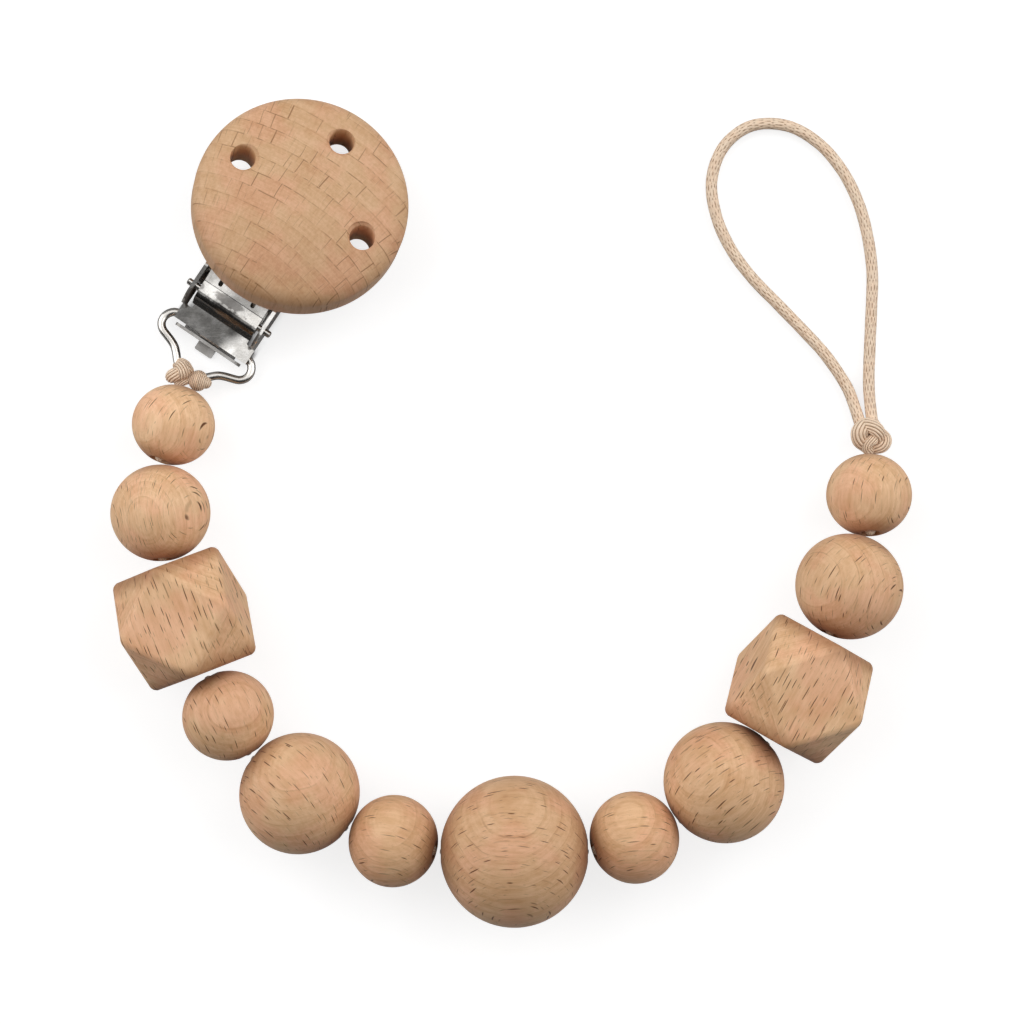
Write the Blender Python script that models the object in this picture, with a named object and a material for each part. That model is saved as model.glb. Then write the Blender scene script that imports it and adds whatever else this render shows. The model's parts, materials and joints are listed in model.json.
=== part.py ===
"""Wooden pacifier chain: a hinged metal clip under a beech disc, a wire bail,
twelve turned and faceted beech beads on one cord, and a cord loop at the end.

Run with: blender --background --python part.py
Units are metres. The origin lies on the table under the middle of the clip
base's front plate. +X and +Y span the table and +Z is up.
"""

import math

import bmesh
import bpy
from mathutils import Matrix, Vector

MM = 0.001

# Gaps between pieces
SEAT_GAP = 0.3 * MM
PIN_PLAY = 0.1 * MM
ROUND_GAP = 0.4 * MM
FACE_GAP = 0.5 * MM

# Clip base: one stamped sheet with two ears, two rear flanges and a front plate
CLIP_HEADING = math.radians(56.1)
SHEET = 0.5 * MM
CLIP_WIDTH = 11.2 * MM
FLOOR_TOP = 2.3 * MM
FLOOR_REAR = 4.9 * MM
FLOOR_FRONT = 8.3 * MM
BEND_RADIUS = 0.4 * MM
EAR_REAR = 2.8 * MM
EAR_RISE = 2.2 * MM
EAR_TOP_REAR = 1.5 * MM
EAR_TOP_FRONT = 3.4 * MM
EAR_TOE_HEIGHT = 0.8 * MM
EAR_ROUNDING = 1.5 * MM
FLANGE_LENGTH = 1.9 * MM
FLANGE_FOOT = 0.12 * MM
RELIEF_WIDTH = 0.85 * MM
RELIEF_REAR = 2.7 * MM
RELIEF_FRONT = 0.6 * MM
TONGUE_WIDTH = 3.0 * MM
TONGUE_FOOT = 0.9 * MM
NOSE_INSET = 1.0 * MM
NOSE_STEP = 10.4 * MM
NOSE_LENGTH = 19.0 * MM
NOSE_LIP = 1.6 * MM
NOSE_ROUNDING = 2.2 * MM

# Leaf spring under the floor, with an upturned rear lip and a small rear tab
LEAF_THICKNESS = 0.4 * MM
LEAF_INSET = 1.2 * MM
LEAF_FRONT = 7.3 * MM
LEAF_PAD = 2.2 * MM
LIP_INSET = 0.6 * MM
LIP_HEIGHT = 1.9 * MM
LIP_ROUNDING = 0.7 * MM
TAB_WIDTH = 2.6 * MM
TAB_LENGTH = 1.2 * MM

# Jaw insert: ribbed plastic pad on the front plate
INSERT_MARGIN = 1.0 * MM
INSERT_INSET = 0.7 * MM
INSERT_THICKNESS = 0.7 * MM
RIB_HEIGHT = 0.4 * MM
RIB_COUNT = 6

# Hinge pin through the ears
PIN_DIAMETER = 0.9 * MM
PIN_PROUD = 0.85 * MM
PIN_HEIGHT = 5.2 * MM
PIN_DOME = 0.15 * MM

# Lever: bent plate with side cheeks, a rear cam flange, four prongs and teeth
LEVER_PLAY = 0.6 * MM
LEVER_TOP = 1.25 * MM
LEVER_REAR = 1.0 * MM
CAM_GAP = 1.05 * MM
CAM_SLANT = 0.85 * MM
CHEEK_DEPTH = 1.3 * MM
CHEEK_FRONT = 2.3 * MM
JOGGLE_START = 1.3 * MM
JOGGLE_END = 3.6 * MM
LEVER_LENGTH = 13.6 * MM
SLOT_WIDTH = 0.6 * MM
SLOT_INSET = 2.0 * MM
SLOT_REAR = 1.6 * MM
SLOT_FRONT = 4.2 * MM
TOOTH_WIDTH = 0.9 * MM
TOOTH_COUNT = 4
TOOTH_DEPTH = 0.6 * MM
PRONG_WIDTH = 1.6 * MM
PRONG_HEIGHT = 3.0 * MM
PRONG_INSET = 1.7 * MM
PRONG_REAR = 6.2 * MM
PRONG_SETBACK = 2.4 * MM

# Beech disc on the lever
DISC_DIAMETER = 27.9 * MM
DISC_THICKNESS = 7.8 * MM
DISC_DOME = 1.3 * MM
DISC_EDGE = 2.2 * MM
DISC_FOOT_EDGE = 1.2 * MM
DISC_TILT = math.radians(15.0)
DISC_RISE = 3.5 * MM
DISC_CENTRE = 14.85 * MM
DISC_SIDESTEP = -0.45 * MM
VENT_DIAMETER = 3.3 * MM
VENT_INSET = 4.75 * MM
VENT_COUNT = 3

# Wire bail in the rear flanges
WIRE_DIAMETER = 1.1 * MM
BAIL_PLAY = 0.12 * MM
BAIL_AXIS_X = -4.2 * MM
BAIL_AXIS_Z = 1.05 * MM
BAIL_LIFT = math.radians(9.0)
BAIL_HOOK = 0.7 * MM
BAIL_BULGE = 1.15 * MM
BAIL_ROUTE = (
    (0.0, 5.5), (-0.2, 6.0), (-0.75, 6.5), (-1.5, 6.75), (-2.3, 6.6), (-2.95, 6.0),
    (-3.3, 5.1), (-3.6, 4.2), (-4.0, 3.4), (-4.65, 2.7), (-5.4, 2.0), (-6.1, 1.1), (-6.35, 0.0),
)

# Cord
CORD_DIAMETER = 1.5 * MM
KNOT_BORE_GAP = 0.2 * MM

# Beads' diameters. A faceted bead is measured between its faces
FIRST_BEAD = 10.5 * MM
SECOND_BEAD = 12.6 * MM
FACETED_BEAD = 14.9 * MM
SPACER_BEAD = 11.6 * MM
SIDE_BEAD = 15.5 * MM
CENTRE_BEAD = 19.2 * MM
ELEVENTH_BEAD = 13.7 * MM
LAST_BEAD = 10.8 * MM

# Beads from the clip to the loop: shape, diameter, heading over the table and roll about the thread
ROUND = "round"
FACETED = "faceted"
BEADS = (
    (ROUND, FIRST_BEAD, -111.0, 0.0), (ROUND, SECOND_BEAD, -86.5, 0.0),
    (FACETED, FACETED_BEAD, -69.0, 7.0), (ROUND, SPACER_BEAD, -61.5, 0.0),
    (ROUND, SIDE_BEAD, -37.0, 0.0), (ROUND, SPACER_BEAD, -12.5, 0.0),
    (ROUND, CENTRE_BEAD, 0.0, 0.0), (ROUND, SPACER_BEAD, 17.0, 0.0),
    (ROUND, SIDE_BEAD, 42.0, 0.0), (FACETED, FACETED_BEAD, 61.0, 12.0),
    (ROUND, ELEVENTH_BEAD, 66.5, 0.0), (ROUND, LAST_BEAD, 90.5, 0.0),
)
BORE_DIAMETER = 2.2 * MM
MOUTH_CHAMFER = 0.3 * MM
FACET_ROUNDING = 1.3 * MM

# Where the thread leaves the clip's knot, from the apex of the bail
THREAD_START = Vector((-0.93, -1.28)) * MM

# The loop's route over the table, from the thread's last point: ahead and to the left
LOOP_HEADING = 90.0
LOOP_ROUTE = (
    (4.05, 0.8, 1.35), (6.36, 1.52, 1.0), (9.0, 2.59, 0.85), (12.9, 5.23, 0.85), (16.3, 8.33, 0.85),
    (19.6, 11.53, 0.85), (23.0, 14.83, 0.85), (26.8, 17.63, 0.85), (31.1, 19.53, 0.85),
    (35.8, 20.13, 0.85), (40.2, 18.53, 0.85), (42.9, 14.93, 0.85), (42.9, 10.23, 0.85),
    (40.6, 6.13, 0.85), (37.0, 3.03, 0.85), (32.8, 0.93, 0.85), (28.4, -0.27, 0.85),
    (23.7, -0.87, 0.85), (19.1, -0.77, 0.85), (14.4, -0.57, 0.85), (9.6, -0.66, 0.85),
    (6.55, -0.88, 1.0), (4.05, -1.15, 1.35),
)
LOOP_STEP = 3.0 * MM

# Sizes that follow from the clip's width and lengths, the disc and the cord
NOSE_WIDTH = CLIP_WIDTH - 2 * NOSE_INSET
LEAF_WIDTH = CLIP_WIDTH - 2 * (SHEET + LEAF_INSET)
LIP_WIDTH = CLIP_WIDTH - 2 * LIP_INSET
INSERT_REAR = NOSE_STEP + INSERT_MARGIN
INSERT_LENGTH = NOSE_LENGTH - INSERT_MARGIN - INSERT_REAR
INSERT_WIDTH = NOSE_WIDTH - 2 * INSERT_INSET
PIN_LENGTH = CLIP_WIDTH + 2 * PIN_PROUD
LEVER_WIDTH = CLIP_WIDTH - 2 * (SHEET + LEVER_PLAY)
SLOT_SPREAD = LEVER_WIDTH - 2 * SLOT_INSET
PRONG_SPREAD = LEVER_WIDTH - 2 * PRONG_INSET
PRONG_FRONT = LEVER_LENGTH - PRONG_SETBACK
BAIL_END = CLIP_WIDTH / 2 - SHEET - BAIL_HOOK
VENT_CIRCLE = DISC_DIAMETER - 2 * VENT_INSET
LUMP = CORD_DIAMETER * 2 / 3

# How finely round things are cut
PIN_SIDES = 16
SMALL_SIDES = 20
LARGE_SIDES = 24
LARGE_BEAD = 15.0 * MM
DISC_SIDES = 48

WOOD = (0.66, 0.42, 0.245)
NICKEL = (0.62, 0.60, 0.57)
STEEL = (0.50, 0.49, 0.47)
PLASTIC = (0.78, 0.77, 0.74)
CORD = (0.67, 0.45, 0.29)


def material(name, colour, roughness, metallic=0.0):
    """A Principled material of its own for one piece."""
    made = bpy.data.materials.new(name)
    made.use_nodes = True
    shader = made.node_tree.nodes["Principled BSDF"]
    shader.inputs["Base Color"].default_value = (*colour, 1.0)
    shader.inputs["Roughness"].default_value = roughness
    shader.inputs["Metallic"].default_value = metallic
    return made


def empty(name, parent=None, location=(0, 0, 0), turn=0.0):
    """An empty that carries moving pieces, turned about Z."""
    made = bpy.data.objects.new(name, None)
    made.empty_display_size = WIRE_DIAMETER
    bpy.context.scene.collection.objects.link(made)
    made.parent = parent
    made.location = location
    made.rotation_euler = (0.0, 0.0, turn)
    return made


def finish(bm, name, parent, location=(0, 0, 0), rotation=(0, 0, 0)):
    """Turn a bmesh into a placed object with its faces pointing out."""
    bmesh.ops.recalc_face_normals(bm, faces=bm.faces)
    mesh = bpy.data.meshes.new(name)
    bm.to_mesh(mesh)
    bm.free()
    made = bpy.data.objects.new(name, mesh)
    bpy.context.scene.collection.objects.link(made)
    made.parent = parent
    made.location = location
    made.rotation_euler = rotation
    return made


def dress(obj, colour, roughness, metallic=0.0, smooth=None):
    """Give a piece its material, and shade it smooth below an edge angle."""
    obj.data.materials.append(material(obj.name + "_finish", colour, roughness, metallic))
    if smooth is not None:
        obj.data.shade_smooth()
        obj.data.set_sharp_from_angle(angle=math.radians(smooth))
    return obj


def fillet(points, radii, closed=True, steps=4):
    """Round the corners of an outline with arcs of the given radii."""
    count = len(points)
    rounded = []
    for i, point in enumerate(points):
        here = Vector(point)
        radius = radii[i] if isinstance(radii, (list, tuple)) else radii
        if radius <= 0 or (not closed and i in (0, count - 1)):
            rounded.append(here)
            continue
        back = (Vector(points[i - 1]) - here).normalized()
        ahead = (Vector(points[(i + 1) % count]) - here).normalized()
        half = back.angle(ahead) / 2
        centre = here + (back + ahead).normalized() * (radius / math.sin(half))
        first = here + back * (radius / math.tan(half)) - centre
        sweep = math.pi - 2 * half
        side = 1 if back.x * ahead.y - back.y * ahead.x < 0 else -1
        for k in range(steps + 1):
            angle = side * sweep * k / steps
            turned = Matrix.Rotation(angle, 2) @ first
            rounded.append(centre + turned)
    return rounded


def sheet_outline(path, thickness):
    """The closed outline of a sheet bent along an open path."""
    left, right = [], []
    for i, point in enumerate(path):
        back = (point - path[i - 1]).normalized() if i > 0 else None
        ahead = (path[i + 1] - point).normalized() if i < len(path) - 1 else None
        along = ((back or ahead) + (ahead or back)).normalized()
        across = Vector((-along.y, along.x))
        stretch = 1.0 if back is None or ahead is None else 1 / max(0.5, along.dot(back))
        left.append(point + across * thickness / 2 * stretch)
        right.append(point - across * thickness / 2 * stretch)
    return left + right[::-1]


def prism(outline, axis, low, high):
    """A closed outline extruded along X, Y or Z between two coordinates.

    The outline lies in YZ for X, in XZ for Y and in XY for Z.
    """
    place = {
        "X": lambda p, t: (t, p[0], p[1]),
        "Y": lambda p, t: (p[0], t, p[1]),
        "Z": lambda p, t: (p[0], p[1], t),
    }[axis]
    bm = bmesh.new()
    face = bm.faces.new([bm.verts.new(place(p, low)) for p in outline])
    grown = bmesh.ops.extrude_face_region(bm, geom=[face])
    moved = [v for v in grown["geom"] if isinstance(v, bmesh.types.BMVert)]
    bmesh.ops.translate(bm, verts=moved, vec=Vector(place((0, 0), high - low)))
    return bm


def revolve(profile, axis, sides, closed=False):
    """Spin a profile of (distance along the axis, radius) about X, Y or Z."""
    along = {"X": 0, "Y": 1, "Z": 2}[axis]
    out = (along + 1) % 3
    bm = bmesh.new()
    verts = []
    for distance, radius in profile:
        co = [0.0, 0.0, 0.0]
        co[along] = distance
        co[out] = radius
        verts.append(bm.verts.new(co))
    edges = [bm.edges.new(pair) for pair in zip(verts, verts[1:])]
    if closed:
        edges.append(bm.edges.new((verts[-1], verts[0])))
    direction = [0.0, 0.0, 0.0]
    direction[along] = 1.0
    bmesh.ops.spin(
        bm, geom=verts + edges, cent=(0, 0, 0), axis=direction,
        angle=2 * math.pi, steps=sides, use_merge=True,
    )
    bmesh.ops.remove_doubles(bm, verts=bm.verts, dist=1e-7)
    return bm


def boolean(obj, tool, operation):
    """Add an exact boolean with a hidden tool that moves with the object."""
    tool.hide_render = True
    tool.display_type = "WIRE"
    added = obj.modifiers.new(tool.name, "BOOLEAN")
    added.operation = operation
    added.solver = "EXACT"
    added.object = tool
    return obj


def tool(bm, name, parent, location=(0, 0, 0), rotation=(0, 0, 0)):
    """A hidden shape for a boolean."""
    return finish(bm, name, parent, location, rotation)


def rod(axis, low, high, diameter, sides=PIN_SIDES):
    """A plain round bar between two coordinates on an axis."""
    radius = diameter / 2
    return revolve([(low, 0.0), (low, radius), (high, radius), (high, 0.0)], axis, sides)


def smooth_path(points, step):
    """Points about a step apart on a smooth curve through the given ones."""
    made = []
    last = len(points) - 1
    for i in range(last):
        before = points[max(i - 1, 0)]
        here, ahead = points[i], points[i + 1]
        after = points[min(i + 2, last)]
        count = max(1, round((ahead - here).length / step))
        for k in range(count):
            t = k / count
            made.append(
                0.5 * (
                    2 * here + (ahead - before) * t
                    + (2 * before - 5 * here + 4 * ahead - after) * t ** 2
                    + (3 * here - before - 3 * ahead + after) * t ** 3
                )
            )
    made.append(points[-1])
    return made


def tube(name, points, diameter, parent, location=(0, 0, 0), rotation=(0, 0, 0), resolution=2):
    """A round wire or cord along points, with closed ends."""
    curve = bpy.data.curves.new(name, "CURVE")
    curve.dimensions = "3D"
    curve.bevel_depth = diameter / 2
    curve.bevel_resolution = resolution
    curve.use_fill_caps = True
    spline = curve.splines.new("POLY")
    spline.points.add(len(points) - 1)
    for slot, point in zip(spline.points, points):
        slot.co = (*point, 1.0)
    spline.use_smooth = True
    made = bpy.data.objects.new(name, curve)
    bpy.context.scene.collection.objects.link(made)
    made.parent = parent
    made.location = location
    made.rotation_euler = rotation
    return made


def swept(points, diameter, sides):
    """A round bar along points that lie level, with flat ends."""
    bm = bmesh.new()
    rings = []
    for i, point in enumerate(points):
        along = (points[min(i + 1, len(points) - 1)] - points[max(i - 1, 0)]).normalized()
        across = Vector((0.0, 0.0, 1.0)).cross(along).normalized()
        ring = []
        for k in range(sides):
            angle = 2 * math.pi * k / sides
            out = across * math.cos(angle) + Vector((0.0, 0.0, 1.0)) * math.sin(angle)
            ring.append(bm.verts.new(point + out * diameter / 2))
        rings.append(ring)
    for low, high in zip(rings, rings[1:]):
        for k in range(sides):
            j = (k + 1) % sides
            bm.faces.new((low[k], low[j], high[j], high[k]))
    bm.faces.new(rings[0][::-1])
    bm.faces.new(rings[-1])
    return bm


def ellipsoid(centre, radii, sides=12, rings=8):
    """A rounded lump for a knot."""
    bm = bmesh.new()
    place = Matrix.Translation(centre) @ Matrix.Diagonal((*radii, 1.0))
    bmesh.ops.create_uvsphere(bm, u_segments=sides, v_segments=rings, radius=1.0, matrix=place)
    return bm


def capsule(start, end, radius, sides=12, rings=4):
    """A round bar from start to end with half-round ends."""
    along = end - start
    arc = [math.pi / 2 * k / rings for k in range(rings + 1)]
    profile = [(-radius * math.cos(a), radius * math.sin(a)) for a in arc]
    profile += [(along.length + radius * math.sin(a), radius * math.cos(a)) for a in arc]
    profile[0] = (-radius, 0.0)
    profile[-1] = (along.length + radius, 0.0)
    bm = revolve(profile, "X", sides)
    turn = Vector((1, 0, 0)).rotation_difference(along).to_matrix().to_4x4()
    bmesh.ops.transform(bm, matrix=Matrix.Translation(start) @ turn, verts=bm.verts)
    return bm


def barrel(centre, direction, length, diameter, sides=14):
    """A short fat winding of cord, bulging in the middle, along a level direction."""
    half = length / 2
    radius = diameter / 2
    profile = [
        (-half, 0.0), (-half, radius * 0.55), (-half * 0.8, radius * 0.86), (-half * 0.4, radius),
        (half * 0.4, radius), (half * 0.8, radius * 0.86), (half, radius * 0.55), (half, 0.0),
    ]
    bm = revolve(profile, "X", sides)
    turn = Vector((1, 0, 0)).rotation_difference(direction).to_matrix().to_4x4()
    bmesh.ops.transform(bm, matrix=Matrix.Translation(centre) @ turn, verts=bm.verts)
    return bm


def build_base(frame):
    """The stamped base: floor, ears, rear flanges, tongue and front plate."""
    outer = CLIP_WIDTH / 2
    inner = outer - SHEET
    under = FLOOR_TOP - SHEET
    root = inner - BEND_RADIUS
    ear_top = PIN_HEIGHT + EAR_RISE
    section = [
        (-outer, FLANGE_FOOT), (-inner, FLANGE_FOOT), (-inner, under - BEND_RADIUS), (-root, under),
        (root, under), (inner, under - BEND_RADIUS), (inner, FLANGE_FOOT), (outer, FLANGE_FOOT),
        (outer, ear_top), (inner, ear_top), (inner, FLOOR_TOP + BEND_RADIUS), (root, FLOOR_TOP),
        (-root, FLOOR_TOP), (-inner, FLOOR_TOP + BEND_RADIUS), (-inner, ear_top), (-outer, ear_top),
    ]
    base = finish(prism(section, "X", -FLOOR_REAR, FLOOR_FRONT), "clip_base", frame)

    flange_front = -FLOOR_REAR + FLANGE_LENGTH
    side = [
        (-FLOOR_REAR, 0.0), (flange_front, 0.0), (flange_front, under), (FLOOR_FRONT, under),
        (FLOOR_FRONT, FLOOR_TOP + EAR_TOE_HEIGHT), (EAR_TOP_FRONT, ear_top), (-EAR_TOP_REAR, ear_top),
        (-EAR_REAR, PIN_HEIGHT), (-EAR_REAR, FLOOR_TOP), (-FLOOR_REAR, FLOOR_TOP),
    ]
    rounding = [0, 0, 0, 0, 0, EAR_ROUNDING, EAR_ROUNDING, EAR_ROUNDING / 2, 0, 0]
    reach = outer + SHEET
    trim = prism(fillet(side, rounding), "Y", -reach, reach)
    boolean(base, tool(trim, "base_side_view", frame), "INTERSECT")

    for name, y in (("relief_left", inner - RELIEF_WIDTH), ("relief_right", -inner)):
        slot = [
            (-RELIEF_REAR, y), (RELIEF_FRONT, y), (RELIEF_FRONT, y + RELIEF_WIDTH),
            (-RELIEF_REAR, y + RELIEF_WIDTH),
        ]
        cut = prism(fillet(slot, RELIEF_WIDTH / 4, steps=2), "Z", under - SHEET, FLOOR_TOP + SHEET)
        boolean(base, tool(cut, name, frame), "DIFFERENCE")

    nose_path = [
        Vector((FLOOR_FRONT - SHEET, FLOOR_TOP - SHEET / 2)), Vector((FLOOR_FRONT, FLOOR_TOP - SHEET / 2)),
        Vector((NOSE_STEP, SHEET / 2)), Vector((NOSE_LENGTH, SHEET / 2)), Vector((NOSE_LENGTH, NOSE_LIP)),
    ]
    nose_path = fillet(nose_path, [0, 0.6 * MM, 0.6 * MM, 0.4 * MM, 0], closed=False, steps=3)
    half = NOSE_WIDTH / 2
    nose = tool(prism(sheet_outline(nose_path, SHEET), "Y", -half, half), "base_nose", frame)
    plan = [
        (0.0, -half - SHEET), (NOSE_LENGTH + SHEET, -half), (NOSE_LENGTH + SHEET, half),
        (0.0, half + SHEET),
    ]
    plan = fillet(plan, [0, NOSE_ROUNDING, NOSE_ROUNDING, 0], steps=5)
    nose_plan = tool(prism(plan, "Z", -SHEET, PIN_HEIGHT), "base_nose_plan", frame)
    boolean(nose, nose_plan, "INTERSECT")
    boolean(base, nose, "UNION")

    tongue_path = [
        Vector((-FLOOR_REAR + SHEET, FLOOR_TOP - SHEET / 2)), Vector((-FLOOR_REAR, FLOOR_TOP - SHEET / 2)),
        Vector((-FLOOR_REAR, TONGUE_FOOT)),
    ]
    tongue_path = fillet(tongue_path, SHEET / 2, closed=False, steps=3)
    half = TONGUE_WIDTH / 2
    tongue = prism(sheet_outline(tongue_path, SHEET), "Y", -half, half)
    boolean(base, tool(tongue, "base_tongue", frame), "UNION")

    bore = rod("Y", -reach, reach, PIN_DIAMETER + 2 * PIN_PLAY)
    boolean(base, tool(bore, "base_pin_bore", frame, (0, 0, PIN_HEIGHT)), "DIFFERENCE")
    bore = rod("Y", -reach, reach, WIRE_DIAMETER + 2 * BAIL_PLAY)
    boolean(base, tool(bore, "base_bail_bore", frame, (BAIL_AXIS_X, 0, BAIL_AXIS_Z)), "DIFFERENCE")
    return dress(base, NICKEL, 0.22, 1.0, smooth=35)


def build_spring(frame):
    """The leaf spring: bowed up under the floor, with its rear lip and tab."""
    middle = LEAF_THICKNESS / 2
    lip_x = -FLOOR_REAR - SHEET / 2 - SEAT_GAP / 2 - middle
    crest = FLOOR_TOP - SHEET - SEAT_GAP - middle
    bow_start = lip_x + LEAF_PAD
    bow_end = LEAF_FRONT - LEAF_PAD / 2
    path = [Vector((lip_x, middle)), Vector((bow_start, middle))]
    bow_steps = 12
    for k in range(1, bow_steps):
        share = k / bow_steps
        rise = 0.5 - 0.5 * math.cos(2 * math.pi * share)
        path.append(Vector((bow_start + (bow_end - bow_start) * share, middle + (crest - middle) * rise)))
    path += [Vector((bow_end, middle)), Vector((LEAF_FRONT, middle))]
    half = LEAF_WIDTH / 2
    spring = finish(prism(sheet_outline(path, LEAF_THICKNESS), "Y", -half, half), "spring_plate", frame)

    half = LIP_WIDTH / 2
    lip = fillet([(-half, 0.0), (half, 0.0), (half, LIP_HEIGHT), (-half, LIP_HEIGHT)], LIP_ROUNDING)
    lip_bm = prism(lip, "X", lip_x - middle, lip_x + middle)
    boolean(spring, tool(lip_bm, "spring_lip", frame), "UNION")

    half = TAB_WIDTH / 2
    tail = lip_x - middle - TAB_LENGTH
    tab = [(lip_x, -half), (lip_x, half), (tail, half), (tail, -half)]
    tab_bm = prism(fillet(tab, [0, 0, 0.2 * MM, 0.2 * MM], steps=2), "Z", 0.0, LEAF_THICKNESS)
    boolean(spring, tool(tab_bm, "spring_tab", frame), "UNION")
    return dress(spring, STEEL, 0.3, 1.0, smooth=35)


def build_insert(frame):
    """The jaw pad: a plastic block whose top is a row of ribs."""
    foot = SHEET + SEAT_GAP
    shoulder = foot + INSERT_THICKNESS
    pitch = INSERT_LENGTH / RIB_COUNT
    outline = [(INSERT_REAR, foot), (INSERT_REAR + INSERT_LENGTH, foot)]
    for k in range(RIB_COUNT, 0, -1):
        outline.append((INSERT_REAR + pitch * k, shoulder))
        outline.append((INSERT_REAR + pitch * (k - 0.5), shoulder + RIB_HEIGHT))
    outline.append((INSERT_REAR, shoulder))
    half = INSERT_WIDTH / 2
    insert = finish(prism(outline, "Y", -half, half), "jaw_insert", frame)
    return dress(insert, PLASTIC, 0.5)


def build_pin(frame):
    """The hinge pin, with slightly domed ends."""
    radius = PIN_DIAMETER / 2
    half = PIN_LENGTH / 2
    profile = [
        (-half, 0.0), (-half, radius * 0.6), (-half + PIN_DOME, radius),
        (half - PIN_DOME, radius), (half, radius * 0.6), (half, 0.0),
    ]
    pin = finish(revolve(profile, "Y", PIN_SIDES), "hinge_pin", frame, (0, 0, PIN_HEIGHT))
    return dress(pin, NICKEL, 0.2, 1.0, smooth=40)


def disc_underside(x):
    """Height of the disc's flat underside over the pin, at x ahead of the pin."""
    return (DISC_RISE - x * math.sin(DISC_TILT)) / math.cos(DISC_TILT)


def build_lever(axis):
    """The bent lever plate with its cheeks, cam flange, teeth and prongs."""
    half = LEVER_WIDTH / 2
    level = LEVER_TOP - SHEET / 2
    cam_foot = FLOOR_TOP + CAM_GAP - PIN_HEIGHT
    below = (SEAT_GAP + SHEET / 2) / math.cos(DISC_TILT)
    front = disc_underside(LEVER_LENGTH) - below
    bite = SHEET + SEAT_GAP + INSERT_THICKNESS + RIB_HEIGHT + SEAT_GAP - PIN_HEIGHT
    path = [
        Vector((-LEVER_REAR - CAM_SLANT, cam_foot)), Vector((-LEVER_REAR, level)),
        Vector((JOGGLE_START, level)),
        Vector((JOGGLE_END, disc_underside(JOGGLE_END) - below)), Vector((LEVER_LENGTH, front)),
        Vector((LEVER_LENGTH, bite)),
    ]
    path = fillet(path, [0, LEVER_REAR, 0.6 * MM, 0.6 * MM, 0.5 * MM, 0], closed=False, steps=5)
    lever = finish(prism(sheet_outline(path, SHEET), "Y", -half, half), "clip_lever", axis)

    for name, low in (("cheek_left", half - SHEET), ("cheek_right", -half)):
        cheek = [
            (-LEVER_REAR, -CHEEK_DEPTH), (CHEEK_FRONT, -CHEEK_DEPTH), (CHEEK_FRONT, level + SHEET / 4),
            (-LEVER_REAR, level + SHEET / 4),
        ]
        shape = prism(fillet(cheek, [0, 1.0 * MM, 0, LEVER_REAR], steps=5), "Y", low, low + SHEET)
        boolean(lever, tool(shape, name, axis), "UNION")

    reach = half + SHEET
    for name, side in (("slot_left", 1), ("slot_right", -1)):
        low = (side * SLOT_SPREAD - SLOT_WIDTH) / 2
        slot = [
            (SLOT_REAR, low), (SLOT_FRONT, low), (SLOT_FRONT, low + SLOT_WIDTH),
            (SLOT_REAR, low + SLOT_WIDTH),
        ]
        shape = prism(fillet(slot, SLOT_WIDTH * 0.45, steps=3), "Z", 0.0, 2 * DISC_RISE)
        boolean(lever, tool(shape, name, axis), "DIFFERENCE")

    pitch = LEVER_WIDTH / TOOTH_COUNT
    for k in range(TOOTH_COUNT + 1):
        middle = -half + k * pitch
        space = pitch - TOOTH_WIDTH
        gap = [
            (middle - space / 2, bite - SHEET), (middle + space / 2, bite - SHEET),
            (middle, bite + TOOTH_DEPTH),
        ]
        shape = prism(gap, "X", LEVER_LENGTH - SHEET, LEVER_LENGTH + SHEET)
        boolean(lever, tool(shape, f"tooth_gap_{k}", axis), "DIFFERENCE")

    for k, (x, y) in enumerate(prong_places()):
        shape = prong_block(x, y, -SHEET / 4 - SEAT_GAP, PRONG_HEIGHT, 0.0)
        boolean(lever, tool(shape, f"prong_{k}", axis, (0, 0, 0), (0, DISC_TILT, 0)), "UNION")

    bore = rod("Y", -reach, reach, PIN_DIAMETER + 2 * PIN_PLAY)
    boolean(lever, tool(bore, "lever_pin_bore", axis), "DIFFERENCE")
    return dress(lever, NICKEL, 0.2, 1.0, smooth=35)


def prong_places():
    """Where the prongs stand along and across the disc's underside."""
    side = PRONG_SPREAD / 2
    return [(x, y) for x in (PRONG_REAR, PRONG_FRONT) for y in (side, -side)]


def prong_block(x, y, low, high, gap):
    """A prong, or its slot in the wood, in the frame of the tilted underside."""
    length = SHEET / 2 + gap
    half = PRONG_WIDTH / 2 + gap
    outline = [(x - length, y - half), (x + length, y - half), (x + length, y + half), (x - length, y + half)]
    return prism(outline, "Z", DISC_RISE + low, DISC_RISE + high)


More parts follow.
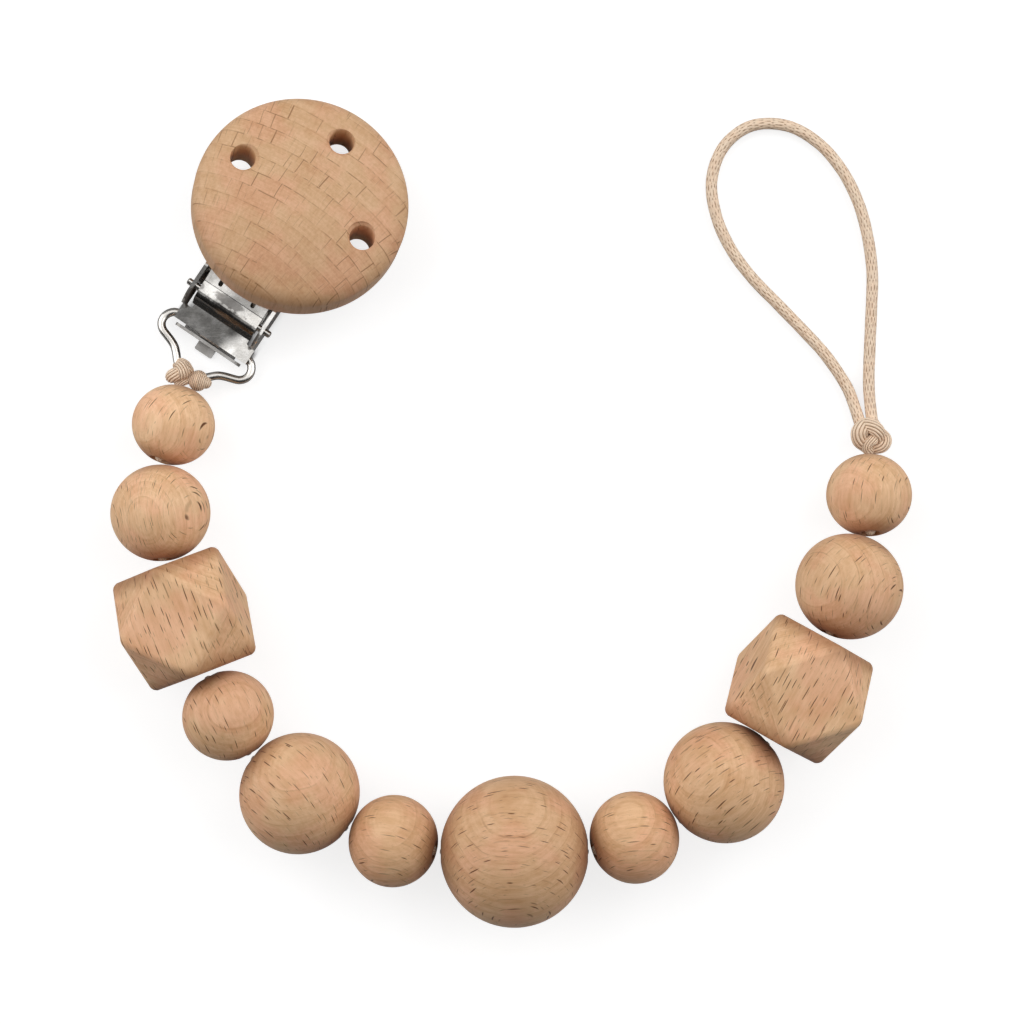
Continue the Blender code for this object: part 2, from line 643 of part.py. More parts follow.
def build_disc(axis):
    """The turned beech disc with its three vent holes and the prongs' slots."""
    radius = DISC_DIAMETER / 2
    rim = DISC_THICKNESS - DISC_DOME
    profile = [(0.0, 0.0)]
    for k in range(4):
        angle = math.pi / 2 * k / 3
        profile.append((
            DISC_FOOT_EDGE * (1 - math.cos(angle)),
            radius - DISC_FOOT_EDGE * (1 - math.sin(angle)),
        ))
    for k in range(5):
        angle = math.pi / 2 * 0.85 * k / 4
        profile.append((
            rim - DISC_EDGE * (1 - math.sin(angle)),
            radius - DISC_EDGE * (1 - math.cos(angle)),
        ))
    edge_height, edge_radius = profile[-1]
    for share in (0.75, 0.5, 0.25):
        profile.append((
            DISC_THICKNESS - (DISC_THICKNESS - edge_height) * share ** 2,
            edge_radius * share,
        ))
    profile.append((DISC_THICKNESS, 0.0))
    tilt = (0, DISC_TILT, 0)
    normal = Matrix.Rotation(DISC_TILT, 3, "Y")
    place = normal @ Vector((DISC_CENTRE, DISC_SIDESTEP, DISC_RISE))
    disc = finish(revolve(profile, "Z", DISC_SIDES), "wood_disc", axis, place, tilt)
    for k in range(VENT_COUNT):
        angle = math.pi / 2 * (k - 1)
        spot = normal @ Vector((
            DISC_CENTRE + VENT_CIRCLE / 2 * math.cos(angle),
            DISC_SIDESTEP + VENT_CIRCLE / 2 * math.sin(angle), DISC_RISE,
        ))
        vent = rod("Z", -MM, DISC_THICKNESS + MM, VENT_DIAMETER, SMALL_SIDES)
        # half a side's turn keeps the vent's corners off the disc's own edges
        half_side = Matrix.Rotation(math.pi / SMALL_SIDES, 3, "Z")
        bmesh.ops.rotate(vent, matrix=half_side, verts=vent.verts)
        boolean(disc, tool(vent, f"vent_{k}", axis, spot, tilt), "DIFFERENCE")
    for k, (x, y) in enumerate(prong_places()):
        slot = prong_block(x, y, -MM, PRONG_HEIGHT + SEAT_GAP, SEAT_GAP)
        boolean(disc, tool(slot, f"prong_slot_{k}", axis, (0, 0, 0), tilt), "DIFFERENCE")
    return dress(disc, WOOD, 0.6, smooth=35)


def bail_points():
    """The bail's centre line in its own plane, from one inner end to the other."""
    spread = (CLIP_WIDTH / 2 + BAIL_BULGE) / max(y for _, y in BAIL_ROUTE)
    side = [Vector((x * MM, y * spread, 0.0)) for x, y in BAIL_ROUTE]
    smooth = smooth_path(side, WIRE_DIAMETER / 2)
    half = [Vector((0.0, BAIL_END, 0.0))] + smooth
    return half + [Vector((p.x, -p.y, p.z)) for p in half[-2::-1]]


def bail_apex():
    """The bail's lifted apex, from the bail's axis."""
    reach = -BAIL_ROUTE[-1][0] * MM
    return Vector((-reach * math.cos(BAIL_LIFT), 0.0, reach * math.sin(BAIL_LIFT)))


def build_bail(axis):
    """The wire bail, hooked into the rear flanges."""
    bail = tube("bail_wire", bail_points(), WIRE_DIAMETER, axis, rotation=(0, BAIL_LIFT, 0), resolution=2)
    bail.data.materials.append(material("bail_wire_finish", NICKEL, 0.18, 1.0))
    return bail


def reach_below(shape, diameter, roll):
    """How far a bead reaches below its thread."""
    if shape == ROUND:
        return diameter / 2
    bm = faceted_bead(diameter)
    bmesh.ops.rotate(bm, matrix=Matrix.Rotation(math.radians(roll), 3, "X"), verts=bm.verts)
    reach = -min(v.co.z for v in bm.verts)
    bm.free()
    return reach


def thread_heights():
    """The thread's height at each gap, where the taller neighbour's thread runs level."""
    radii = [reach_below(shape, diameter, roll) for shape, diameter, _, roll in BEADS]
    inner = [max(pair) for pair in zip(radii, radii[1:])]
    return [2 * radii[0] - inner[0]] + inner + [2 * radii[-1] - inner[-1]]


def gap_after(index):
    """The gap between a bead and the next one, or the knot at either end."""
    pair = BEADS[max(index, 0):index + 2]
    faceted = len(pair) == 2 and index >= 0 and any(bead[0] == FACETED for bead in pair)
    return FACE_GAP if faceted else ROUND_GAP


def thread_slope(index):
    """How steeply the thread climbs through a bead."""
    heights = thread_heights()
    length = BEADS[index][1] + (gap_after(index - 1) + gap_after(index)) / 2
    return math.asin((heights[index + 1] - heights[index]) / length)


def knot(name, parent, lumps, location=(0, 0, 0)):
    """A knot: rounded lumps of cord joined into one solid."""
    body = finish(lumps[0], name, parent, location)
    for k, lump in enumerate(lumps[1:]):
        boolean(body, tool(lump, f"{name}_lump_{k}", parent, location), "UNION")
    return body


def build_clip_knot(axis, start, direction):
    """The knot cinched round the bail's apex, with the cord rising to the first bead."""
    apex = bail_apex()
    cord = CORD_DIAMETER / 2
    tip = start - direction * (ROUND_GAP / 2 + cord)
    lumps = [
        ellipsoid(apex + Vector((-0.05, 0.8, -0.45)) * LUMP, Vector((1.35, 1.6, 1.2)) * LUMP),
        capsule(
            apex + Vector((-0.5, 2.0, -0.4)) * LUMP, apex + Vector((-1.15, 1.35, -0.6)) * LUMP, 0.85 * LUMP,
        ),
        capsule(
            apex + Vector((0.9, 1.25, 0.45)) * LUMP, apex + Vector((0.05, 0.75, 0.85)) * LUMP, 0.9 * LUMP,
        ),
        ellipsoid(apex + Vector((-0.6, -0.2, -0.3)) * LUMP, Vector((0.72, 0.72, 1.1)) * LUMP),
        barrel(apex + Vector((0.6, -1.75, 0.05)) * LUMP, Vector((0.47, -0.88, 0.0)), 2.7 * LUMP, 2.75 * LUMP),
        capsule(apex + Vector((0.0, -0.6, 0.7)) * LUMP, tip, cord),
    ]
    body = knot("clip_knot", axis, lumps)
    core = swept(bail_points(), WIRE_DIAMETER + 2 * KNOT_BORE_GAP, PIN_SIDES)
    boolean(body, tool(core, "clip_knot_bore", axis, rotation=(0, BAIL_LIFT, 0)), "DIFFERENCE")
    return dress(body, CORD, 0.6, smooth=60)


def build_loop_knot(joint):
    """The knot that closes the loop, with the cord reaching back to the last bead."""
    cord = CORD_DIAMETER / 2
    slope = thread_slope(len(BEADS) - 1)
    direction = Vector((math.cos(slope), 0.0, math.sin(slope)))
    tip = direction * (ROUND_GAP / 2 + cord)
    table = Vector((LUMP / 3, 0.0, -thread_heights()[-1]))
    lumps = [
        capsule(table + Vector((1.3, 0.65, 1.9)) * LUMP, table + Vector((2.5, 0.45, 1.9)) * LUMP, 1.2 * LUMP),
        ellipsoid(table + Vector((2.25, -1.45, 2.1)) * LUMP, Vector((1.2, 1.15, 1.6)) * LUMP),
        ellipsoid(table + Vector((1.15, -1.65, 1.9)) * LUMP, Vector((1.1, 1.6, 1.7)) * LUMP),
        ellipsoid(table + Vector((1.9, -0.4, 2.3)) * LUMP, Vector((1.5, 1.2, 1.7)) * LUMP),
        capsule(tip, table + Vector((1.8, -0.2, 2.4)) * LUMP, cord),
    ]
    return dress(knot("loop_knot", joint, lumps), CORD, 0.6, smooth=60)


def round_bead(diameter):
    """A turned ball, bored along X with chamfered mouths."""
    radius = diameter / 2
    bore = BORE_DIAMETER / 2
    mouth = bore + MOUTH_CHAMFER
    pole = math.asin(mouth / radius)
    steps = 11 if diameter > LARGE_BEAD else 9
    profile = []
    for k in range(steps + 1):
        angle = pole + (math.pi - 2 * pole) * k / steps
        profile.append((-radius * math.cos(angle), radius * math.sin(angle)))
    inner = radius * math.cos(pole) - MOUTH_CHAMFER
    profile += [(inner, bore), (-inner, bore)]
    return revolve(profile, "X", LARGE_SIDES if diameter > LARGE_BEAD else SMALL_SIDES, closed=True)


def faceted_bead(across):
    """A block with six square and eight triangular faces and rounded edges."""
    half = across / 2
    bm = bmesh.new()
    for a in (-half, half):
        for b in (-half, half):
            for corner in ((a, b, 0.0), (a, 0.0, b), (0.0, a, b)):
                bm.verts.new(corner)
    bmesh.ops.convex_hull(bm, input=bm.verts)
    bmesh.ops.dissolve_limit(bm, angle_limit=math.radians(1), verts=bm.verts, edges=bm.edges)
    bmesh.ops.bevel(
        bm, geom=bm.edges, offset=FACET_ROUNDING, segments=2, profile=0.5,
        affect="EDGES", clamp_overlap=True,
    )
    return bm


def bead_bore(across):
    """The bore and its two chamfers, as one turned cutter along X."""
    bore = BORE_DIAMETER / 2
    mouth = bore + MOUTH_CHAMFER
    face = across / 2
    past = face + MM
    profile = [
        (-past, 0.0), (-past, mouth + MM), (-face, mouth), (-face + MOUTH_CHAMFER, bore),
        (face - MOUTH_CHAMFER, bore), (face, mouth), (past, mouth + MM), (past, 0.0),
    ]
    return revolve(profile, "X", SMALL_SIDES)


def build_bead(number, joint, centre, slope):
    """One bead, threaded on the cord that its joint carries."""
    shape, diameter, _, roll = BEADS[number - 1]
    name = f"bead_{number:02d}"
    turn = (math.radians(roll), -slope, 0.0)
    if shape == FACETED:
        bead = finish(faceted_bead(diameter), name, joint, centre, turn)
        boolean(bead, tool(bead_bore(diameter), name + "_bore", joint, centre, turn), "DIFFERENCE")
        return dress(bead, WOOD, 0.6, smooth=20)
    bead = finish(round_bead(diameter), name, joint, centre, turn)
    return dress(bead, WOOD, 0.6, smooth=40)


def build_cord_run(number, joint, centre, slope):
    """The stretch of cord inside a bead, with half-round ends at its mouths."""
    cord = CORD_DIAMETER / 2
    reach = BEADS[number - 1][1] / 2 - cord
    run = capsule(Vector((-reach, 0, 0)), Vector((reach, 0, 0)), cord, sides=10, rings=3)
    made = finish(run, f"cord_run_{number:02d}", joint, centre, (0.0, -slope, 0.0))
    return dress(made, CORD, 0.65, smooth=60)


def build_thread(bail_axis, start):
    """The string of beads: each joint turns about an upright line in its gap."""
    joint = bail_axis
    place = start
    heading = CLIP_HEADING
    for number, (_, diameter, degrees, _) in enumerate(BEADS, 1):
        turned = math.radians(degrees)
        joint = empty(f"flex_{number - 1:02d}", joint, place, turned - heading)
        heading = turned
        slope = thread_slope(number - 1)
        along = Vector((math.cos(slope), 0.0, math.sin(slope)))
        centre = along * (diameter / 2 + gap_after(number - 2) / 2)
        build_cord_run(number, joint, centre, slope)
        build_bead(number, joint, centre, slope)
        place = centre + along * (diameter / 2 + gap_after(number - 1) / 2)
    return empty(f"flex_{len(BEADS):02d}", joint, place, math.radians(LOOP_HEADING) - heading)


def build_loop(joint):
    """The free cord loop that lies on the table."""
    drop = thread_heights()[-1]
    route = [Vector((x * MM, y * MM, z * MM - drop)) for x, y, z in LOOP_ROUTE]
    loop = tube("cord_loop", smooth_path(route, LOOP_STEP), CORD_DIAMETER, joint, resolution=2)
    loop.data.materials.append(material("cord_loop_finish", CORD, 0.65))
    return loop


def build():
    """Build every piece from the clip to the loop."""
    for obj in list(bpy.data.objects):
        bpy.data.objects.remove(obj, do_unlink=True)
    ahead = Vector((math.cos(CLIP_HEADING), math.sin(CLIP_HEADING), 0.0))
    frame = empty("clip_frame", None, ahead * -(NOSE_STEP + NOSE_LENGTH) / 2, CLIP_HEADING)
    build_base(frame)
    build_spring(frame)
    build_insert(frame)
    build_pin(frame)
    lever_axis = empty("lever_axis", frame, (0, 0, PIN_HEIGHT))
    build_lever(lever_axis)
    build_disc(lever_axis)
    bail_axis = empty("bail_axis", frame, (BAIL_AXIS_X, 0, BAIL_AXIS_Z))
    build_bail(bail_axis)
    apex = bail_apex()
    start = Vector((apex.x + THREAD_START.x, THREAD_START.y, thread_heights()[0] - BAIL_AXIS_Z))
    turned = math.radians(BEADS[0][2]) - CLIP_HEADING
    slope = thread_slope(0)
    direction = Vector((
        math.cos(slope) * math.cos(turned), math.cos(slope) * math.sin(turned), math.sin(slope),
    ))
    build_clip_knot(bail_axis, start, direction)
    last_joint = build_thread(bail_axis, start)
    build_loop_knot(last_joint)
    build_loop(last_joint)


build()
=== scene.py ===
"""A wooden pacifier chain on a white table, seen from straight above.

The clip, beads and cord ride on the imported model's bodies. All sizes are metres,
and MM turns millimetres into metres.
"""
import json
import math

import bmesh
import bpy
from mathutils import Matrix, Vector


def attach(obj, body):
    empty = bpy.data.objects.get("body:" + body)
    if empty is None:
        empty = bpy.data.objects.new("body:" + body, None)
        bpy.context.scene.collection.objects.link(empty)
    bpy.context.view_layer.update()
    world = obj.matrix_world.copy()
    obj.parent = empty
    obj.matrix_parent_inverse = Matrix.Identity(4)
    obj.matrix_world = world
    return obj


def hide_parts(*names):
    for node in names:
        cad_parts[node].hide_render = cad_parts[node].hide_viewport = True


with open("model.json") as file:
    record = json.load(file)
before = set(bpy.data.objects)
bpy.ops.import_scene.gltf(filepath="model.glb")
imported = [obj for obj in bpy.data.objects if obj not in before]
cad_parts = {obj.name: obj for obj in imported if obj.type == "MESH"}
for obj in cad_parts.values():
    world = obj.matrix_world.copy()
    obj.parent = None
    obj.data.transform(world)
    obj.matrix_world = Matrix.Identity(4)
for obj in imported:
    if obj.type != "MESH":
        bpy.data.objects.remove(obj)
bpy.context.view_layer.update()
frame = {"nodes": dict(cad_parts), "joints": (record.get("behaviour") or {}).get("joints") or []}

MM = 0.001
JOINTS = {j["name"]: j for j in frame["joints"]}

UP = Vector((0, 0, 1))

# Camera: straight above the middle of the picture, with its focal length in pixels
CAMERA_AT = Vector((28.501, -38.681, 520.0)) * MM
FOCUS_PIXELS = 3968.0
HALF_PICTURE = 512.0
NEAREST_SEEN = 10 * MM

# White table: its height, half its side, its colour and the glow that a camera sees
TABLE_HEIGHT = -0.22 * MM
TABLE_HALF = 1.5
TABLE_COLOUR = (0.42, 0.42, 0.42, 1.0)
TABLE_GLOW = 0.76

# Beads from the clip to the loop: diameters in mm, and the roll of the faceted ones in degrees
DIAMETERS = (10.5, 12.6, 14.9, 11.6, 15.5, 11.6, 19.2, 11.6, 15.5, 14.9, 13.7, 10.8)
ROLLS = {3: 7.0, 10: 12.0}
SHORTER = 0.08  # mm off each bead, so that neighbours don't touch when the cord bends
WIDER = 0.4 * MM  # on each round bead across the thread
BORE_RADIUS = 1.1 * MM
MOUTH = 0.3 * MM
FACET_ROUNDING = 0.6 * MM

# Disc on the lever: its foot, its wall and its domed top, and its place ahead of the pin
DISC_DIAMETER = 27.9 * MM
DISC_THICKNESS = 7.8 * MM
DISC_DOME = 1.3 * MM
DISC_EDGE = 2.2 * MM
DISC_FOOT_EDGE = 1.2 * MM
DISC_TILT = math.radians(15.0)
DISC_PLACE = Vector((14.85, -0.45, 3.5)) * MM
VENT_RADIUS = 1.65 * MM
VENT_CIRCLE = 9.2 * MM
VENT_LIP = 0.35 * MM
DISC_RINGS_AWAY = 44  # mm from the disc to the middle of its growth rings

# Wire bail: half its route, ahead of its hinge and to the left of its middle, in mm
WIRE_RADIUS = 0.55 * MM
BAIL_LIFT = math.radians(9.0)
BAIL_END = 4.4
BAIL_ROUTE = (
    (0.0, 5.5), (-0.2, 6.0), (-0.75, 6.5), (-1.5, 6.75), (-2.3, 6.6), (-2.95, 6.0),
    (-3.3, 5.1), (-3.6, 4.2), (-4.0, 3.4), (-4.65, 2.7), (-5.4, 2.0), (-6.1, 1.1), (-6.35, 0.0),
)

# Cord, and the free loop's route: ahead and to the left of the last pivot and over the table, in mm
CORD_RADIUS = 0.75 * MM
LOOP_ROUTE = (
    (4.05, 0.8, 1.35), (6.36, 1.52, 1.0), (9.0, 2.59, 0.85), (12.9, 5.23, 0.85), (16.3, 8.33, 0.85),
    (19.6, 11.53, 0.85), (23.0, 14.83, 0.85), (26.8, 17.63, 0.85), (31.1, 19.53, 0.85),
    (35.8, 20.13, 0.85), (40.2, 18.53, 0.85), (42.9, 14.93, 0.85), (42.9, 10.23, 0.85),
    (40.6, 6.13, 0.85), (37.0, 3.03, 0.85), (32.8, 0.93, 0.85), (28.4, -0.27, 0.85),
    (23.7, -0.87, 0.85), (19.1, -0.77, 0.85), (14.4, -0.57, 0.85), (9.6, -0.42, 0.85),
    (6.55, -0.58, 1.0), (4.05, -0.85, 1.35),
)

# Ribs along the loop and along the knots' strands: number, share of the radius and turn per mm
LOOP_RIBS = (12, 0.07, 0.12)
STRAND_RIBS = (13, 0.13, 0.4)
RIB_MIDDLE = 0.6  # the height of a rib's wave that leaves the radius as it is

# Fineness: steps along a route, and sides round
LOOP_STEP, LOOP_SIDES = 0.6 * MM, 72
STRAND_STEP, STRAND_SIDES = 0.2 * MM, 104
WIRE_STEP, WIRE_SIDES = 0.3 * MM, 24
RUN_SIDES = 20
WINDING_SIDES = 64
BEAD_STEPS, BEAD_SIDES = 40, 72
DISC_SIDES = 144
HOLE_SIDES = 48

# The rounded end of a tube: shares of its radius outwards and across
CAP = ((0.4, 0.92), (0.75, 0.66), (0.97, 0.24))


# ---- Meshes ----

def direction(compass, rise):
    """The unit vector at a compass angle and a rise, in degrees."""
    heading, lift = math.radians(compass), math.radians(rise)
    return Vector((
        math.cos(lift) * math.cos(heading), math.cos(lift) * math.sin(heading), math.sin(lift)))


def add_object(name, bm, matrix=None):
    """Link a bmesh as an object whose own frame is matrix, with its vertices left in place."""
    bmesh.ops.recalc_face_normals(bm, faces=bm.faces)
    mesh = bpy.data.meshes.new(name)
    if matrix is not None:
        bmesh.ops.transform(bm, matrix=matrix.inverted(), verts=bm.verts)
    bm.to_mesh(mesh)
    bm.free()
    obj = bpy.data.objects.new(name, mesh)
    bpy.context.scene.collection.objects.link(obj)
    if matrix is not None:
        obj.matrix_world = matrix
    return obj


def smooth(obj, degrees=None):
    """Shade smooth, and keep edges sharper than the angle crisp."""
    obj.data.shade_smooth()
    if degrees is not None:
        obj.data.set_sharp_from_angle(angle=math.radians(degrees))
    return obj


def lathe(profile, sides, closed=False):
    """A profile of (distance along X, radius) turned about X."""
    bm = bmesh.new()
    rings = []
    for along, radius in profile:
        if radius < 1e-9:
            rings.append([bm.verts.new((along, 0.0, 0.0))])
            continue
        ring = []
        for k in range(sides):
            angle = 2 * math.pi * k / sides
            ring.append(bm.verts.new((along, radius * math.cos(angle), radius * math.sin(angle))))
        rings.append(ring)
    pairs = list(zip(rings, rings[1:]))
    if closed:
        pairs.append((rings[-1], rings[0]))
    for low, high in pairs:
        for k in range(sides):
            j = (k + 1) % sides
            if len(low) == 1:
                bm.faces.new((low[0], high[j], high[k]))
            elif len(high) == 1:
                bm.faces.new((low[k], low[j], high[0]))
            else:
                bm.faces.new((low[k], low[j], high[j], high[k]))
    return bm


def apply_modifiers(obj):
    """Replace an object's mesh by its evaluated one, with no modifier left."""
    bpy.context.view_layer.update()
    made = bpy.data.meshes.new_from_object(obj.evaluated_get(bpy.context.evaluated_depsgraph_get()))
    obj.modifiers.clear()
    obj.data = made


def cut(obj, cutters):
    """Cut other objects out of obj, and remove them."""
    for cutter in cutters:
        mod = obj.modifiers.new("cut", "BOOLEAN")
        mod.operation = "DIFFERENCE"
        mod.solver = "EXACT"
        mod.object = cutter
    apply_modifiers(obj)
    for cutter in cutters:
        bpy.data.objects.remove(cutter, do_unlink=True)


def curve_points(points, step, radii=None):
    """Points about a step apart on a smooth curve through the given ones, and radii there."""
    made, sizes = [], []
    last = len(points) - 1
    for i in range(last):
        before, here = points[max(i - 1, 0)], points[i]
        ahead, after = points[i + 1], points[min(i + 2, last)]
        count = max(1, round((ahead - here).length / step))
        for k in range(count):
            t = k / count
            made.append(0.5 * (
                2 * here + (ahead - before) * t
                + (2 * before - 5 * here + 4 * ahead - after) * t ** 2
                + (3 * here - before - 3 * ahead + after) * t ** 3
            ))
            if radii:
                s = t * t * (3 - 2 * t)
                sizes.append(radii[i] * (1 - s) + radii[i + 1] * s)
    made.append(points[-1])
    if radii:
        sizes.append(radii[-1])
    return (made, sizes) if radii else made


def sweep(name, points, radii, sides, ribs=0, depth=0.0, twist=0.0):
    """A round tube along points with rounded ends, and UVs in millimetres along it.

    Ribs run along it, depth is their share of the radius, and twist is their turn per mm.
    """
    if not isinstance(radii, (list, tuple)):
        radii = [radii] * len(points)
    head = (points[0] - points[1]).normalized()
    tail = (points[-1] - points[-2]).normalized()
    front = [(points[0] + head * radii[0] * out, radii[0] * share) for out, share in CAP[::-1]]
    back = [(points[-1] + tail * radii[-1] * out, radii[-1] * share) for out, share in CAP]
    points = [p for p, _ in front] + list(points) + [p for p, _ in back]
    radii = [r for _, r in front] + list(radii) + [r for _, r in back]
    bm = bmesh.new()
    uv = bm.loops.layers.uv.new("UVMap")
    along = (points[1] - points[0]).normalized()
    across = along.orthogonal().normalized()
    rings, lengths, run = [], [], 0.0
    for i, point in enumerate(points):
        ahead = (points[min(i + 1, len(points) - 1)] - points[max(i - 1, 0)]).normalized()
        across = along.rotation_difference(ahead) @ across
        along = ahead
        other = along.cross(across)
        if i:
            run += (point - points[i - 1]).length
        lengths.append(run / MM)
        ring = []
        for k in range(sides):
            angle = 2 * math.pi * k / sides
            out = across * math.cos(angle) + other * math.sin(angle)
            wave = abs(math.sin(ribs / 2 * (angle + twist * run / MM))) - RIB_MIDDLE
            ring.append(bm.verts.new(point + out * radii[i] * (1 + depth * wave)))
        rings.append(ring)
    for i in range(len(rings) - 1):
        for k in range(sides):
            j = (k + 1) % sides
            face = bm.faces.new((rings[i][k], rings[i][j], rings[i + 1][j], rings[i + 1][k]))
            spots = ((k, i), (k + 1, i), (k + 1, i + 1), (k, i + 1))
            for loop, (turn, n) in zip(face.loops, spots):
                loop[uv].uv = (turn / sides, lengths[n])
    for ring, length in ((rings[0][::-1], lengths[0]), (rings[-1], lengths[-1])):
        face = bm.faces.new(ring)
        for loop in face.loops:
            loop[uv].uv = (0.5, length)
    return smooth(add_object(name, bm))


# ---- Node graphs ----

class Graph:
    """Short ways to add and link shader nodes."""

    def __init__(self, tree):
        self.tree = tree

    def add(self, kind, **values):
        node = self.tree.nodes.new(kind)
        for key, value in values.items():
            setattr(node, key, value)
        return node

    def feed(self, socket, value):
        if isinstance(value, bpy.types.NodeSocket):
            self.tree.links.new(value, socket)
        elif value is not None:
            socket.default_value = value

    def math(self, operation, *values, clamp=False):
        node = self.add("ShaderNodeMath", operation=operation, use_clamp=clamp)
        for socket, value in zip(node.inputs, values):
            self.feed(socket, value)
        return node.outputs[0]

    def vector(self, operation, *values):
        node = self.add("ShaderNodeVectorMath", operation=operation)
        if operation == "SCALE":
            self.feed(node.inputs[0], values[0])
            self.feed(node.inputs["Scale"], values[1])
        else:
            for socket, value in zip(node.inputs, values):
                self.feed(socket, value)
        return node.outputs["Value" if operation in ("LENGTH", "DOT_PRODUCT") else "Vector"]

    def split(self, vector):
        node = self.add("ShaderNodeSeparateXYZ")
        self.feed(node.inputs[0], vector)
        return node.outputs

    def join(self, x, y, z):
        node = self.add("ShaderNodeCombineXYZ")
        for socket, value in zip(node.inputs, (x, y, z)):
            self.feed(socket, value)
        return node.outputs[0]

    def noise(self, vector, scale, detail=2.0, roughness=0.5, out="Fac"):
        node = self.add("ShaderNodeTexNoise")
        self.feed(node.inputs["Vector"], vector)
        self.feed(node.inputs["Scale"], scale)
        self.feed(node.inputs["Detail"], detail)
        self.feed(node.inputs["Roughness"], roughness)
        return node.outputs[out]

    def smoothstep(self, value, low, high, start=0.0, end=1.0):
        node = self.add("ShaderNodeMapRange", interpolation_type="SMOOTHSTEP")
        for socket, given in zip(node.inputs, (value, low, high, start, end)):
            self.feed(socket, given)
        return node.outputs[0]

    def object_mm(self):
        """The place in the object's own frame, in millimetres."""
        return self.vector("SCALE", self.add("ShaderNodeTexCoord").outputs["Object"], 1 / MM)

    def bump(self, shader, height, strength, distance):
        node = self.add("ShaderNodeBump")
        node.inputs["Strength"].default_value = strength
        node.inputs["Distance"].default_value = distance
        self.feed(node.inputs["Height"], height)
        self.feed(shader.inputs["Normal"], node.outputs["Normal"])

    def mix(self, share, a, b, blend="MIX"):
        node = self.add("ShaderNodeMix", data_type="RGBA", blend_type=blend)
        self.feed(node.inputs[0], share)
        self.feed(node.inputs[6], a)
        self.feed(node.inputs[7], b)
        return node.outputs[2]


def new_group(name, inputs, outputs):
    """An empty node group with its sockets: name and kind."""
    tree = bpy.data.node_groups.new(name, "ShaderNodeTree")
    for way, sockets in (("INPUT", inputs), ("OUTPUT", outputs)):
        for label, kind in sockets:
            tree.interface.new_socket(label, in_out=way, socket_type=kind)
    graph = Graph(tree)
    return graph, graph.add("NodeGroupInput").outputs, graph.add("NodeGroupOutput").inputs


def new_material(name):
    """A node material, its graph and its Principled shader."""
    made = bpy.data.materials.new(name)
    made.use_nodes = True
    graph = Graph(made.node_tree)
    return made, graph, made.node_tree.nodes["Principled BSDF"]


def fleck_layer(g, place, cell, half, keep, seed):
    """Spindles scattered in stretched cells: a mask from 0 to 1."""
    shifted = g.vector("ADD", place, (seed, seed * 1.7, seed * 2.3))
    scaled = g.vector("DIVIDE", shifted, cell)
    cells = g.add("ShaderNodeTexVoronoi", feature="F1", distance="EUCLIDEAN")
    g.feed(cells.inputs["Vector"], scaled)
    cells.inputs["Scale"].default_value = 1.0
    cells.inputs["Randomness"].default_value = 0.9
    chance = g.split(cells.outputs["Color"])
    away = g.vector("MULTIPLY", g.vector("SUBTRACT", scaled, cells.outputs["Position"]), cell)
    length = g.math("MULTIPLY_ADD", chance[1], 0.9, 0.45)
    shrunk = g.vector("DIVIDE", away, half)
    parts = g.split(shrunk)
    shape = g.vector("LENGTH", g.join(g.math("DIVIDE", parts[0], length), parts[1], parts[2]))
    mask = g.smoothstep(shape, 0.35, 1.15, 1.0, 0.0)
    kept = g.math("LESS_THAN", chance[0], keep)
    strength = g.math("MULTIPLY_ADD", chance[2], 0.7, 0.3)
    return g.math("MULTIPLY", g.math("MULTIPLY", mask, kept), strength)


LIGHT_WOOD = (0.79, 0.525, 0.315)
DEEP_WOOD = (0.60, 0.335, 0.165)
ROSY_TINT = (1.04, 0.92, 0.96, 1.0)
PORE_BROWN = (0.36, 0.18, 0.08, 1.0)
LINE_BROWN = (0.33, 0.165, 0.07, 1.0)
FLECK_BROWN = (0.15, 0.052, 0.018, 1.0)
# The colour of the painted shade at a piece's ends
END_SHADE_TINT = (0.42, 0.30, 0.22, 1.0)
RING_SPACING = 1.4  # mm between growth rings
DISC_RING_SPACING = 2.1


